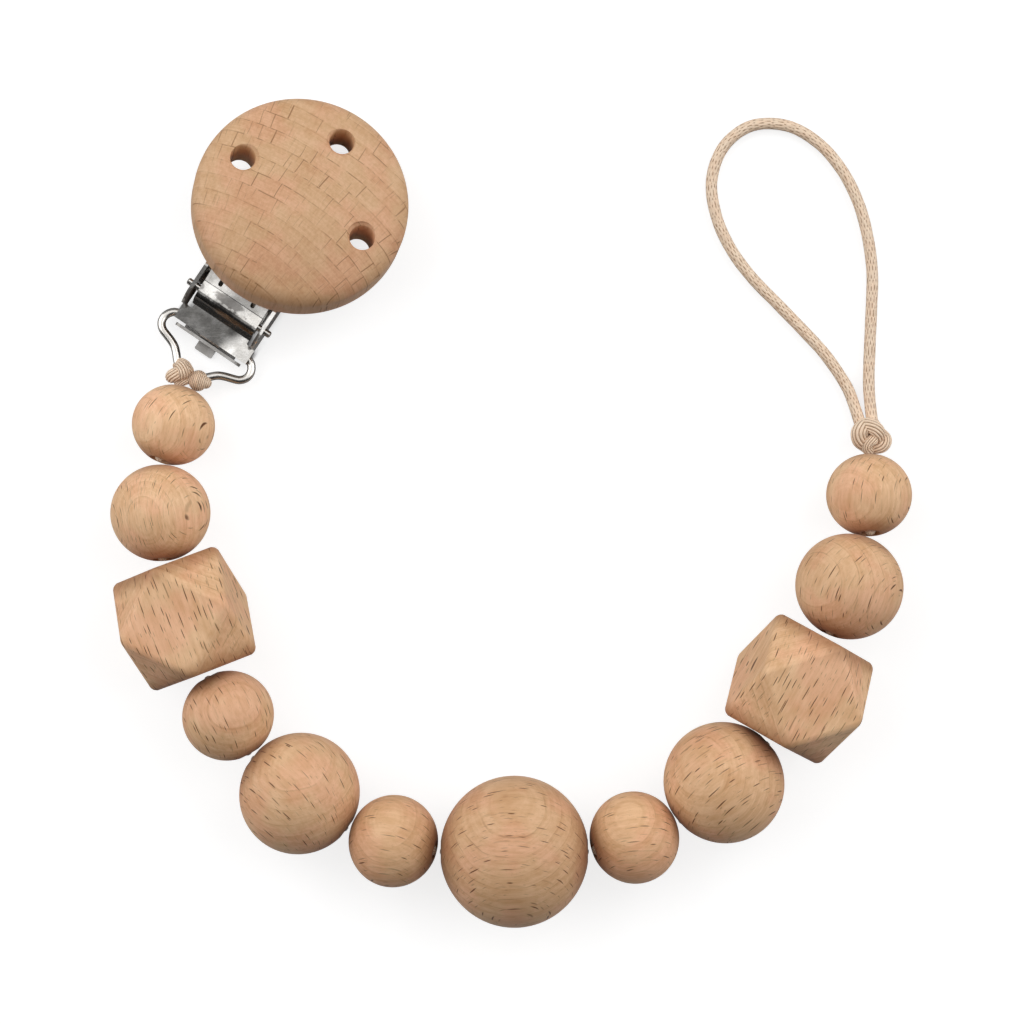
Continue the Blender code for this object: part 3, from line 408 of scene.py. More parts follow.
def build_beech():
    """Solid beech: the grain runs along X, and the growth rings turn about a line along X."""
    g, given, out = new_group("beech", [
        ("Centre", "NodeSocketVector"), ("Reach", "NodeSocketFloat"), ("Seed", "NodeSocketFloat"),
        ("Rings", "NodeSocketFloat"), ("Flecks", "NodeSocketFloat"), ("Bricks", "NodeSocketFloat"),
        ("Wander", "NodeSocketFloat"), ("Spacing", "NodeSocketFloat"),
        ("Light", "NodeSocketColor"), ("Deep", "NodeSocketColor"), ("Rosy", "NodeSocketColor"),
    ], [
        ("Color", "NodeSocketColor"), ("Height", "NodeSocketFloat"), ("Roughness", "NodeSocketFloat"),
    ])
    seed = given["Seed"]
    shift = g.join(seed, g.math("MULTIPLY", seed, 1.3), g.math("MULTIPLY", seed, 2.1))
    place = g.object_mm()
    moved = g.vector("ADD", place, shift)
    wander = g.vector("SUBTRACT", g.noise(moved, 0.16, 2.0, out="Color"), (0.5, 0.5, 0.5))
    bent = g.vector("ADD", place, g.vector("SCALE", wander, g.math("MULTIPLY", given["Wander"], 1.8)))
    x, y, z = g.split(g.vector("SUBTRACT", bent, given["Centre"]))
    radius = g.math("SQRT", g.math("ADD", g.math("MULTIPLY", y, y), g.math("MULTIPLY", z, z)))
    angle = g.math("ARCTAN2", z, y)
    arc = g.math("MULTIPLY", angle, given["Reach"])
    polar = g.join(x, arc, radius)
    drift = g.vector("ADD", polar, shift)

    # growth rings: a fine dark line at each ring's edge, broken along its length
    uneven = g.noise(g.vector("MULTIPLY", drift, (0.1, 0.1, 0.5)), 1.0, 2.0)
    count = g.math("DIVIDE", radius, given["Spacing"])
    count = g.math("ADD", count, g.math("MULTIPLY", uneven, given["Wander"]))
    phase = g.math("FRACT", count)
    number = g.math("FLOOR", count)
    broad = g.smoothstep(phase, 0.1, 0.95)
    line = g.smoothstep(phase, 0.965, 1.0, 1.0, 0.0)
    line = g.math("MULTIPLY", g.smoothstep(phase, 0.9, 0.96), line)
    broken = g.noise(g.vector("MULTIPLY", drift, (0.45, 0.8, 1.4)), 1.0, 2.0)
    broken = g.smoothstep(broken, 0.4, 0.58)
    clear = g.smoothstep(g.noise(moved, 0.14, 1.0), 0.36, 0.58, 0.3, 1.0)
    ring_line = g.math("MULTIPLY", g.math("MULTIPLY", line, broken), given["Rings"])
    ring_line = g.math("MULTIPLY", ring_line, clear)

    # wide rays: each spans one ring, so it shows as a joint between two ring lines
    hops = g.math("ADD", g.math("DIVIDE", arc, 1.7), g.math("MULTIPLY", number, 0.618))
    hops = g.math("ADD", hops, g.noise(g.vector("MULTIPLY", drift, (0.0, 0.3, 0.1)), 1.0, 0.0))
    lifts = g.math("ADD", g.math("DIVIDE", x, 2.6), g.math("MULTIPLY", g.math("FLOOR", hops), 0.381))
    chance = g.add("ShaderNodeTexWhiteNoise", noise_dimensions="3D")
    g.feed(chance.inputs["Vector"], g.join(g.math("FLOOR", hops), number, g.math("FLOOR", lifts)))
    dice = g.split(chance.outputs["Color"])
    across = g.math("ABSOLUTE", g.math("SUBTRACT", g.math("FRACT", hops), 0.5))
    joint = g.smoothstep(across, 0.01, 0.05, 1.0, 0.0)
    tall = g.math("ABSOLUTE", g.math("SUBTRACT", g.math("FRACT", lifts), 0.5))
    tall = g.smoothstep(tall, 0.3, 0.48, 1.0, 0.0)
    joint = g.math("MULTIPLY", g.math("MULTIPLY", joint, tall), g.smoothstep(dice[0], 0.35, 0.75))
    joint = g.math("MULTIPLY", g.math("MULTIPLY", joint, given["Bricks"]), clear)

    # medullary rays: spindles along the grain that reach in towards the rings' centre
    coarse = fleck_layer(g, polar, (2.3, 0.66, 2.0), (1.0, 0.058, 0.9), 0.62, 3.1)
    fine = fleck_layer(g, polar, (1.3, 0.4, 1.5), (0.45, 0.04, 0.6), 0.55, 7.7)
    fleck = g.math("MAXIMUM", coarse, g.math("MULTIPLY", fine, 0.35))
    fleck = g.math("MULTIPLY", fleck, given["Flecks"])

    # tone: golden and rosy blotches, fibre streaks and pores
    blotch = g.noise(moved, 0.28, 3.0, 0.55)
    pink = g.noise(g.vector("ADD", moved, (40.0, 0.0, 0.0)), 0.17, 2.0)
    streak = g.noise(g.vector("MULTIPLY", drift, (0.22, 2.6, 2.2)), 1.0, 3.0, 0.6)
    layers = g.noise(g.vector("MULTIPLY", drift, (0.08, 0.16, 5.5)), 1.0, 2.0, 0.6)
    pores = g.noise(g.vector("MULTIPLY", drift, (2.4, 12.0, 10.0)), 1.0, 2.0, 0.6)
    share = g.math("ADD", g.math("MULTIPLY", blotch, 1.2), g.math("MULTIPLY", broad, 0.18))
    share = g.math("ADD", share, g.math("MULTIPLY", g.math("SUBTRACT", streak, 0.5), 1.3))
    share = g.math("ADD", share, g.math("MULTIPLY", g.math("SUBTRACT", layers, 0.5), 0.9))
    share = g.math("SUBTRACT", share, 0.3, clamp=True)
    colour = g.mix(share, given["Light"], given["Deep"])
    colour = g.mix(g.smoothstep(pink, 0.42, 0.62, 0.0, 0.75), colour, given["Rosy"], "MULTIPLY")
    colour = g.mix(g.smoothstep(pores, 0.58, 0.74, 0.0, 0.3), colour, PORE_BROWN)
    for mark, strength, brown in (
            (ring_line, 0.55, LINE_BROWN), (joint, 0.55, LINE_BROWN), (fleck, 1.25, FLECK_BROWN)):
        colour = g.mix(g.math("MULTIPLY", mark, strength, clamp=True), colour, brown)
    g.feed(out["Color"], colour)
    height = g.math("ADD", g.math("MULTIPLY", fleck, -0.5), g.math("MULTIPLY", ring_line, -0.3))
    height = g.math("SUBTRACT", height, g.math("MULTIPLY", joint, 0.5))
    height = g.math("ADD", height, g.math("MULTIPLY", g.math("ADD", streak, pores), 0.22))
    g.feed(out["Height"], height)
    g.feed(out["Roughness"], g.math("MULTIPLY_ADD", pores, 0.2, 0.46))
    return g.tree


BEECH = build_beech()


def beech(name, centre, reach, seed, rings, flecks, bricks, wander, tone, warm, spacing, ends):
    """Beech for one piece: where its rings turn, how strong its figure is, and its tone.

    Its ends get painted shade: an axis through the middle, where that starts and is full in mm, its
    strength, and whether both ends have it.
    """
    made, g, shader = new_material(name)
    wood = g.add("ShaderNodeGroup", node_tree=BEECH)
    for label, value in (
            ("Centre", centre), ("Reach", reach), ("Seed", seed), ("Rings", rings),
            ("Flecks", flecks), ("Bricks", bricks), ("Wander", wander), ("Spacing", spacing),
            ("Rosy", ROSY_TINT)):
        wood.inputs[label].default_value = value
    for label, (red, green, blue) in (("Light", LIGHT_WOOD), ("Deep", DEEP_WOOD)):
        wood.inputs[label].default_value = (
            red * tone, green * tone / warm, blue * tone / warm ** 2, 1.0)
    axis, start, full, strength, both = ends
    out = g.vector("DOT_PRODUCT", g.object_mm(), tuple(axis))
    if both:
        out = g.math("ABSOLUTE", out)
    # Painted shade towards the ends, multiplied into the wood's colour
    darker = g.smoothstep(out, start, full, 0.0, strength)
    colour = g.mix(darker, wood.outputs["Color"], END_SHADE_TINT, "MULTIPLY")
    g.feed(shader.inputs["Base Color"], colour)
    g.feed(shader.inputs["Roughness"], wood.outputs["Roughness"])
    shader.inputs["Specular IOR Level"].default_value = 0.3
    shader.inputs["Sheen Weight"].default_value = 0.16
    shader.inputs["Sheen Roughness"].default_value = 0.35
    g.bump(shader, wood.outputs["Height"], 0.35, 0.06 * MM)
    return made


# Painted shade in the dips between the cord's ribs, the cord's own colour on its ribs, and a tint
CORD_DIP_SHADE = (0.42, 0.25, 0.14)
CORD_LIGHT = (0.88, 0.70, 0.53)
CORD_TINT = (0.95, 0.80, 0.70, 1.0)


def braid(name, ribs, slant, tone, ways=("ADD",), wound=False):
    """Satin cord: fine ribs wind one way or both ways along it and dip where they cross; the dips get
    painted shade.

    Wound cord has its ribs round the piece instead, so many in each 2 mm.
    """
    made, g, shader = new_material(name)
    around, along, _ = g.split(g.add("ShaderNodeUVMap", uv_map="UVMap").outputs[0])
    if wound:
        around, along = g.math("DIVIDE", along, 2.0), g.math("MULTIPLY", around, 6.0)

    def cloud(round_scale, along_scale, level):
        stretched = g.join(
            g.math("MULTIPLY", around, round_scale), g.math("MULTIPLY", along, along_scale), level)
        return g.noise(stretched, 1.0, 2.0)

    turned = g.math("MULTIPLY", around, float(ribs))
    climb = g.math("MULTIPLY", along, ribs * slant)
    if len(ways) > 1:
        climb = g.math("ADD", climb, g.math("MULTIPLY", cloud(6.0, 1.2, 0.0), 1.1))
    waves = []
    for sign in ways:
        turn = g.math("MULTIPLY", g.math(sign, turned, climb), math.pi)
        waves.append(g.math("ABSOLUTE", g.math("SINE", turn)))
    height = waves[0]
    if len(waves) > 1:
        crossing = g.math("MULTIPLY", g.math("MULTIPLY", *waves), 0.35)
        height = g.math("MULTIPLY_ADD", g.math("MAXIMUM", *waves), 0.65, crossing)
    strands = cloud(60.0, 2.0, 3.0)
    share = g.math("MULTIPLY", g.math("SUBTRACT", strands, 0.5), 0.5)
    share = g.smoothstep(g.math("ADD", height, share), 0.15, 0.72)
    # The dips between ribs get painted shade, the ribs the cord's own colour
    low = tuple(value * tone for value in CORD_DIP_SHADE) + (1.0,)
    high = tuple(value * tone for value in CORD_LIGHT) + (1.0,)
    tint = g.smoothstep(cloud(5.0, 0.5, 9.0), 0.35, 0.7, 0.0, 0.35)
    colour = g.mix(tint, g.mix(share, low, high), CORD_TINT, "MULTIPLY")
    g.feed(shader.inputs["Base Color"], colour)
    g.feed(shader.inputs["Roughness"], g.math("MULTIPLY_ADD", strands, 0.2, 0.34))
    shader.inputs["Sheen Weight"].default_value = 0.25
    shader.inputs["Sheen Roughness"].default_value = 0.4
    g.bump(shader, height, 0.8, 0.09 * MM)
    return made


# The clip's pin: its middle, and the directions ahead of it and to its left
PIVOT = Vector(JOINTS["lever_hinge"]["pos_m"])
LEFT = -Vector(JOINTS["lever_hinge"]["axis"]).normalized()
AHEAD = LEFT.cross(UP)
CLIP_TURN = Matrix((AHEAD, LEFT, UP)).transposed().to_4x4()

# The base's plate, in mm: its middle behind the pin, and where its lean changes to the right
PLATE_BACK = 3.4
LEAN_CHANGE = (-3.6, -1.2)
SCRATCH = (0.82, 0.80, 0.77, 1.0)
# The colour of the painted shade and painted dark reflection on the metal, and where its zones fade
# out
PAINTED_SHADE_COLOUR = (0.085, 0.075, 0.068, 1.0)
PAINTED_SHADE_EDGE = (0.75, 1.1)
SHINELESS_SHADE = 0.9  # painted shade stronger than this has no shine left


def nickel(name, colour, rough, mottle, waves, lean=None, dark=(), front=None):
    """Plated sheet metal: gently uneven faces, random darker patches of painted reflection, faint
    scratches and uneven gloss.

    The sheet can lean by one slope on the clip's left and another on its right. Dark lists
    zones of painted shade and painted dark reflection: middle and half size ahead of the pin and to
    its left, in mm, and strength.
    Ahead of the front line the sheet gets another slope.
    """
    made, g, shader = new_material(name)
    place = g.object_mm()
    from_pin = g.vector("SUBTRACT", place, tuple(PIVOT / MM))
    ahead = g.vector("DOT_PRODUCT", from_pin, tuple(AHEAD))
    left = g.vector("DOT_PRODUCT", from_pin, tuple(LEFT))
    cloud = g.noise(place, 0.45, 3.0, 0.55)
    grit = g.noise(place, 5.0, 3.0, 0.6)
    swell = g.noise(place, 0.16, 1.0)
    scratch = g.noise(g.vector("MULTIPLY", place, (0.8, 15.0, 9.0)), 1.0, 2.0, 0.6)
    red, green, blue = colour
    # Darker patches in random places: painted mottled reflection
    reflection_dark = (red * 0.5, green * 0.48, blue * 0.45, 1.0)
    patches = g.math("ADD", cloud, g.math("MULTIPLY", g.math("SUBTRACT", grit, 0.5), 0.3))
    patches = g.smoothstep(patches, 0.38, 0.62, 0.6 * mottle, 0.0)
    base = g.mix(patches, (red, green, blue, 1.0), reflection_dark)
    base = g.mix(g.smoothstep(scratch, 0.66, 0.74, 0.0, 0.2), base, SCRATCH)
    ragged = g.math("MULTIPLY", g.math("SUBTRACT", g.noise(place, 1.6, 3.0, 0.6), 0.5), 0.9)
    shine = None
    # Each dark zone paints dark colour for shade and dark reflections; where it is strong, the metal
    # loses its shine too
    for at_ahead, at_left, half_ahead, half_left, strength in dark:
        a = g.math("DIVIDE", g.math("SUBTRACT", ahead, at_ahead), half_ahead)
        b = g.math("DIVIDE", g.math("SUBTRACT", left, at_left), half_left)
        away = g.math("ADD", g.vector("LENGTH", g.join(a, b, 0.0)), ragged)
        base = g.mix(g.smoothstep(away, *PAINTED_SHADE_EDGE, strength, 0.0), base, PAINTED_SHADE_COLOUR)
        if strength > SHINELESS_SHADE:
            bare = g.smoothstep(away, *PAINTED_SHADE_EDGE)
            shine = g.math("MULTIPLY", shine, bare) if shine else bare
    g.feed(shader.inputs["Base Color"], base)
    shader.inputs["Metallic"].default_value = 1.0
    if shine:
        g.feed(shader.inputs["Metallic"], shine)
        g.feed(shader.inputs["Specular IOR Level"], g.math("MULTIPLY", shine, 0.5))
    g.feed(shader.inputs["Roughness"], g.math("MULTIPLY_ADD", cloud, 0.2, rough - 0.08))
    rise = g.math("MULTIPLY_ADD", swell, 0.5 * waves, g.math("MULTIPLY", cloud, 0.035 * mottle))
    if lean:
        slope = g.smoothstep(left, *LEAN_CHANGE, lean[1], lean[0])
        rise = g.math("MULTIPLY_ADD", g.math("ADD", ahead, PLATE_BACK), slope, rise)
    if front:
        line, slope = front
        past = g.math("MAXIMUM", g.math("SUBTRACT", ahead, line), 0.0)
        rise = g.math("MULTIPLY_ADD", past, slope, rise)
    g.bump(shader, g.math("MULTIPLY_ADD", scratch, 0.002, rise), 1.0, 1.0 * MM)
    return made


MILKY = (0.80, 0.79, 0.76, 1.0)
MILKY_DEEP = (0.72, 0.705, 0.67, 1.0)


def plastic(name):
    """Milky moulded plastic with a faint grain."""
    made, g, shader = new_material(name)
    place = g.object_mm()
    cloud = g.noise(place, 0.8, 3.0)
    grain = g.noise(place, 12.0, 2.0)
    g.feed(shader.inputs["Base Color"], g.mix(cloud, MILKY, MILKY_DEEP))
    g.feed(shader.inputs["Roughness"], g.math("MULTIPLY_ADD", grain, 0.2, 0.32))
    g.bump(shader, grain, 0.2, 0.03 * MM)
    return made


def dress(obj, made):
    """Give a piece its material."""
    obj.data.materials.clear()
    obj.data.materials.append(made)
    return obj


# ---- Camera, floor and light ----

# The table keeps its glow beyond these distances from the pin, along the clip and to a side.
# Nearer, it darkens where something is within reach of it
GLOW_ALONG = 4.9 * MM
GLOW_ASIDE = 6.0 * MM
SHADOW_REACH = 2.5 * MM
ROOM_LEVEL = 0.08  # the light of the room, where it isn't mirrored

# Softboxes: compass direction and rise in degrees, side in metres and watts
LAMP_DISTANCE = 1.0
LAMPS = (
    ("softbox_left", 160, 32, 1.2, 8.2), ("softbox_right", 20, 32, 1.2, 8.2),
    ("softbox_far", 90, 62, 0.9, 1.9),
)


def build_stage():
    """The camera, the white table, three big soft lamps and a pale room."""
    camera = bpy.data.cameras.new("camera")
    camera.angle = 2 * math.atan(HALF_PICTURE / FOCUS_PIXELS)
    camera.clip_start = NEAREST_SEEN
    camera_obj = bpy.data.objects.new("camera", camera)
    camera_obj.location = CAMERA_AT
    bpy.context.scene.collection.objects.link(camera_obj)
    bpy.context.scene.camera = camera_obj

    bm = bmesh.new()
    bmesh.ops.create_grid(bm, x_segments=4, y_segments=4, size=TABLE_HALF)
    floor = add_object("table", bm)
    floor.location = (CAMERA_AT.x, CAMERA_AT.y, TABLE_HEIGHT)
    made, g, shader = new_material("table_white")
    shader.inputs["Base Color"].default_value = TABLE_COLOUR
    shader.inputs["Roughness"].default_value = 0.9
    shader.inputs["Specular IOR Level"].default_value = 0.0
    shader.inputs["Emission Color"].default_value = (1.0, 1.0, 1.0, 1.0)
    seen = g.add("ShaderNodeLightPath").outputs["Is Camera Ray"]
    near = g.add("ShaderNodeAmbientOcclusion", samples=8)
    near.inputs["Distance"].default_value = SHADOW_REACH
    place = g.add("ShaderNodeNewGeometry").outputs["Position"]
    from_pin = g.vector("SUBTRACT", place, tuple(PIVOT))
    reaches = [
        g.math("DIVIDE", g.math("ABSOLUTE", g.vector("DOT_PRODUCT", from_pin, tuple(way))), reach)
        for way, reach in ((AHEAD, GLOW_ALONG), (LEFT, GLOW_ASIDE))
    ]
    free = g.smoothstep(g.math("MAXIMUM", *reaches), 0.93, 1.03)
    open_sky = g.math("MAXIMUM", g.smoothstep(near.outputs["AO"], 0.4, 0.85), free)
    glow = g.math("MULTIPLY", open_sky, TABLE_GLOW)
    g.feed(shader.inputs["Emission Strength"], g.math("MULTIPLY", seen, glow))
    floor.data.materials.append(made)

    middle = Vector((CAMERA_AT.x, CAMERA_AT.y, 0.0))
    for name, compass, rise, size, watts in LAMPS:
        lamp = bpy.data.lights.new(name, "AREA")
        lamp.shape = "SQUARE"
        lamp.size = size
        lamp.energy = watts
        lamp_obj = bpy.data.objects.new(name, lamp)
        away = direction(compass, rise)
        lamp_obj.location = middle + away * LAMP_DISTANCE
        lamp_obj.rotation_euler = away.to_track_quat("Z", "Y").to_euler()
        bpy.context.scene.collection.objects.link(lamp_obj)

    world = bpy.data.worlds.new("room")
    world.use_nodes = True
    bpy.context.scene.world = world
    g = Graph(world.node_tree)
    back = world.node_tree.nodes["Background"]
    path = g.add("ShaderNodeLightPath").outputs
    sky = g.split(g.add("ShaderNodeTexCoord").outputs["Generated"])
    far_side = g.smoothstep(sky[1], -0.26, -0.02, 0.06, 0.8)
    far_side = g.math("MULTIPLY", far_side, g.smoothstep(sky[1], 0.2, 0.95, 1.0, 0.4))
    room = g.math("MULTIPLY", far_side, g.smoothstep(sky[2], 0.05, 0.5, 0.5, 1.0))
    more = g.math("SUBTRACT", room, ROOM_LEVEL)
    strength = g.math("MULTIPLY_ADD", path["Is Glossy Ray"], more, ROOM_LEVEL)
    white = g.math("MAXIMUM", path["Is Camera Ray"], path["Is Transmission Ray"])
    g.feed(back.inputs["Strength"], g.math("MAXIMUM", strength, white))
    back.inputs["Color"].default_value = (1.0, 1.0, 1.0, 1.0)
    bpy.context.scene.view_settings.view_transform = "Standard"


build_stage()

CORD = braid("cord_braid", 11, 0.055, 1.06, ("ADD", "SUBTRACT"))
# The knot's yarn has a slightly lighter tone than the cord: painted light against the shade of its
# tight curves
YARN = braid("knot_yarn", STRAND_RIBS[0], STRAND_RIBS[2] / (2 * math.pi), 1.08)
WINDING = braid("winding_yarn", 8, 0.03, 1.12, wound=True)


# ---- The free loop of cord ----

def build_loop():
    """The loop that lies on the table, from the knot and back into it."""
    pivot = Vector(JOINTS["flex_12"]["pos_m"])
    route = [
        Vector((pivot.x - left * MM, pivot.y + ahead * MM, height * MM))
        for ahead, left, height in LOOP_ROUTE
    ]
    points = curve_points(route, LOOP_STEP)
    loop = dress(sweep("loop_cord", points, CORD_RADIUS, LOOP_SIDES, *LOOP_RIBS), CORD)
    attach(loop, "loop_end")
    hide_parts("cord_loop")
    return loop, points


LOOP, LOOP_POINTS = build_loop()


# ---- Knots ----

def spot(px, py, height):
    """The point at a height, in millimetres, that shows at a pixel."""
    scale = (CAMERA_AT.z - height * MM) / FOCUS_PIXELS
    across, down = (px - HALF_PICTURE) * scale, (py - HALF_PICTURE) * scale
    return Vector((CAMERA_AT.x + across, CAMERA_AT.y - down, height * MM))


def strand(name, marks, body):
    """A piece of ribbed cord through marks of (pixel across, pixel down, height, radius)."""
    points, radii = curve_points(
        [spot(*mark[:3]) for mark in marks], STRAND_STEP, [mark[3] * MM for mark in marks])
    piece = dress(sweep(name, points, radii, STRAND_SIDES, *STRAND_RIBS), YARN)
    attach(piece, body)
    return piece


def build_barrel():
    """The winding round the wire: ten fine ribs side by side, fullest in the middle."""
    start, end = spot(191.0, 378.8, 2.15), spot(205.6, 382.6, 2.15)
    steps, ribs, widest = 110, 10, 1.42 * MM
    points, radii = [], []
    for k in range(steps + 1):
        share = k / steps
        bulge = math.sqrt(max(0.0, 1 - (2 * share - 1) ** 2 * 0.62))
        rib = abs(math.sin(math.pi * ribs * share))
        points.append(start.lerp(end, share))
        radii.append(widest * bulge * (0.93 + 0.07 * rib))
    piece = dress(sweep("clip_knot_winding", points, radii, WINDING_SIDES), WINDING)
    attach(piece, "bail")
    return piece


def build_knots():
    """The two knots, strand by strand."""
    clip = [
        strand("clip_knot_left", [
            (171.8, 376.6, 2.0, 0.84), (174.0, 375.2, 2.6, 0.9), (178.5, 373.2, 2.7, 0.86),
            (183.0, 371.5, 2.0, 0.75)], "bail"),
        strand("clip_knot_upper", [
            (179.0, 364.8, 2.2, 0.6), (182.0, 367.2, 3.0, 0.8), (183.6, 371.8, 3.1, 0.82),
            (181.5, 377.0, 2.2, 0.65)], "bail"),
        strand("clip_knot_far", [
            (176.5, 365.5, 1.8, 0.5), (180.5, 362.2, 2.2, 0.55), (185.5, 364.8, 2.4, 0.6),
            (189.3, 370.5, 2.1, 0.58), (190.5, 376.0, 1.7, 0.5)], "bail"),
        strand("clip_knot_small", [
            (187.2, 378.2, 1.8, 0.5), (185.0, 380.4, 2.4, 0.6), (181.3, 382.2, 2.2, 0.55),
            (178.5, 383.6, 2.1, 0.58)], "bail"),
        strand("clip_knot_core", [
            (180.0, 376.0, 1.7, 0.85), (184.0, 374.5, 2.0, 0.85),
            (188.5, 374.5, 1.8, 0.8)], "bail"),
        build_barrel(),
    ]
    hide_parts("clip_knot")

    loop = [
        strand("loop_knot_left", [
            (874.0, 425.0, 2.3, 0.85), (866.0, 426.0, 3.1, 1.0), (860.0, 431.5, 3.4, 1.12),
            (860.3, 439.5, 3.0, 1.08), (865.8, 446.0, 2.2, 0.85)], "loop_end"),
        strand("loop_knot_right", [
            (862.0, 425.5, 2.4, 0.8), (869.0, 425.0, 3.5, 0.95), (876.2, 429.5, 3.7, 0.95),
            (878.6, 436.5, 3.1, 0.85), (873.0, 442.0, 2.3, 0.8)], "loop_end"),
        strand("loop_knot_low", [
            (866.0, 447.2, 2.0, 0.78), (874.0, 446.6, 2.4, 0.92), (881.3, 445.2, 2.5, 0.98),
            (884.5, 440.0, 2.4, 0.95), (880.5, 433.5, 2.0, 0.8)], "loop_end"),
        strand("loop_knot_middle", [
            (877.0, 437.0, 3.0, 0.6), (871.5, 440.8, 3.6, 0.7), (867.3, 445.6, 3.4, 0.7),
            (868.5, 450.5, 2.9, 0.7)], "loop_end"),
        strand("loop_knot_core", [
            (866.0, 431.0, 2.2, 0.95), (870.5, 437.0, 2.5, 1.0),
            (874.0, 444.5, 2.0, 0.95)], "loop_end"),
    ]
    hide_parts("loop_knot")


build_knots()


# ---- Beads ----

# Grain direction (compass angle and rise, degrees), ring centre (turn about the grain in
# degrees and distance in mm), seed, rings, flecks, bricks, wander, tone and warmth of each bead
WOODS = {
    1: (75, 10, 222, 16.24, 1.7, 0.3, 1.3, 0.6, 0.4, 1.23, 1.00),
    2: (100, 8, 74, 12.39, 4.1, 0.5, 1.2, 0.8, 0.2, 1.17, 1.00),
    3: (0, 0, 270, 40.5, 9.3, 0.8, 1.5, 1.8, 0.25, 1.13, 1.01),
    4: (-62, 10, 250, 14.29, 12.9, 0.3, 1.3, 0.4, 0.3, 1.05, 1.01),
    5: (-40, 25, 242, 15.14, 15.2, 0.5, 1.3, 0.4, 0.3, 1.04, 1.02),
    6: (-8, 10, 232, 14.29, 18.8, 0.3, 1.1, 0.4, 0.4, 1.07, 1.04),
    7: (2, 3, 222, 23.09, 23.5, 0.8, 1.4, 0.6, 0.45, 0.97, 1.04),
    8: (8, 6, 235, 14.29, 27.4, 0.3, 1.1, 0.4, 0.4, 1.13, 1.04),
    9: (40, 10, 236, 17.94, 31.9, 0.5, 1.5, 1.2, 0.3, 1.07, 1.03),
    10: (0, 0, 270, 40.5, 36.6, 0.8, 1.5, 1.8, 0.25, 1.13, 1.01),
    11: (70, 10, 221, 16.04, 40.3, 0.7, 1.4, 0.7, 0.3, 1.05, 1.02),
    12: (88, 6, 232, 14.69, 44.8, 0.3, 1.2, 0.4, 0.4, 1.13, 1.01),
}

# Painted shade at the bead ends, where neighbouring beads meet: where it starts and is full, in
# diameters from the middle, and how strong
END_SHADE_START, END_SHADE_FULL, END_SHADE_STRENGTH = 0.33, 0.5, 0.75


def frame_along(centre, x):
    """A frame at a point: X as given, Z as near up as it goes."""
    y = UP.cross(x).normalized()
    return Matrix.Translation(centre) @ Matrix((x, y, x.cross(y))).transposed().to_4x4()


def wood_frame(centre, compass, rise):
    """A piece's own frame: X along the grain, Z as near up as it goes."""
    return frame_along(centre, direction(compass, rise))


def thread_frame(joint):
    """A bead's frame on its thread: X along the thread, Z up."""
    return frame_along(Vector(joint["pos_m"]), Vector(joint["axis"]).normalized())


def mouth_lip(edge, angles):
    """The rounded mouth of a bore, from the outer face at edge inwards."""
    mouth = BORE_RADIUS + MOUTH
    return [(edge - MOUTH * (1 - math.cos(a)), mouth - MOUTH * math.sin(a)) for a in angles]


def round_profile(radius, steps):
    """Half outline of a bored ball, closed through its bore."""
    mouth = BORE_RADIUS + MOUTH
    pole = math.asin(mouth / radius)
    points = []
    for k in range(steps + 1):
        angle = pole + (math.pi - 2 * pole) * k / steps
        points.append((-radius * math.cos(angle), radius * math.sin(angle)))
    edge = radius * math.cos(pole)
    lip = mouth_lip(edge, (0.5, 1.0, math.pi / 2))
    return points + lip + [(-x, r) for x, r in lip[::-1]]


def facet_block(across):
    """Six square and eight triangular faces with well rounded edges."""
    half = across / 2
    bm = bmesh.new()
    for a in (-half, half):
        for b in (-half, half):
            for corner in ((a, b, 0.0), (a, 0.0, b), (0.0, a, b)):
                bm.verts.new(corner)
    bmesh.ops.convex_hull(bm, input=bm.verts)
    bmesh.ops.dissolve_limit(bm, angle_limit=math.radians(1), verts=bm.verts, edges=bm.edges)
    bmesh.ops.bevel(
        bm, geom=bm.edges, offset=FACET_ROUNDING, segments=7, profile=0.5, affect="EDGES",
        clamp_overlap=True)
    return bm


def mouth_cutter(name, half, matrix):
    """The bore with its two rounded mouths, along X."""
    mouth = BORE_RADIUS + MOUTH
    lip = [(half + MM, 0.0), (half + MM, mouth + 0.4 * MM)]
    lip += mouth_lip(half, (0.0, 0.5, 1.0, math.pi / 2))
    bm = lathe(lip + [(-x, r) for x, r in lip[::-1]], HOLE_SIDES)
    bmesh.ops.transform(bm, matrix=matrix, verts=bm.verts)
    return add_object(name, bm)


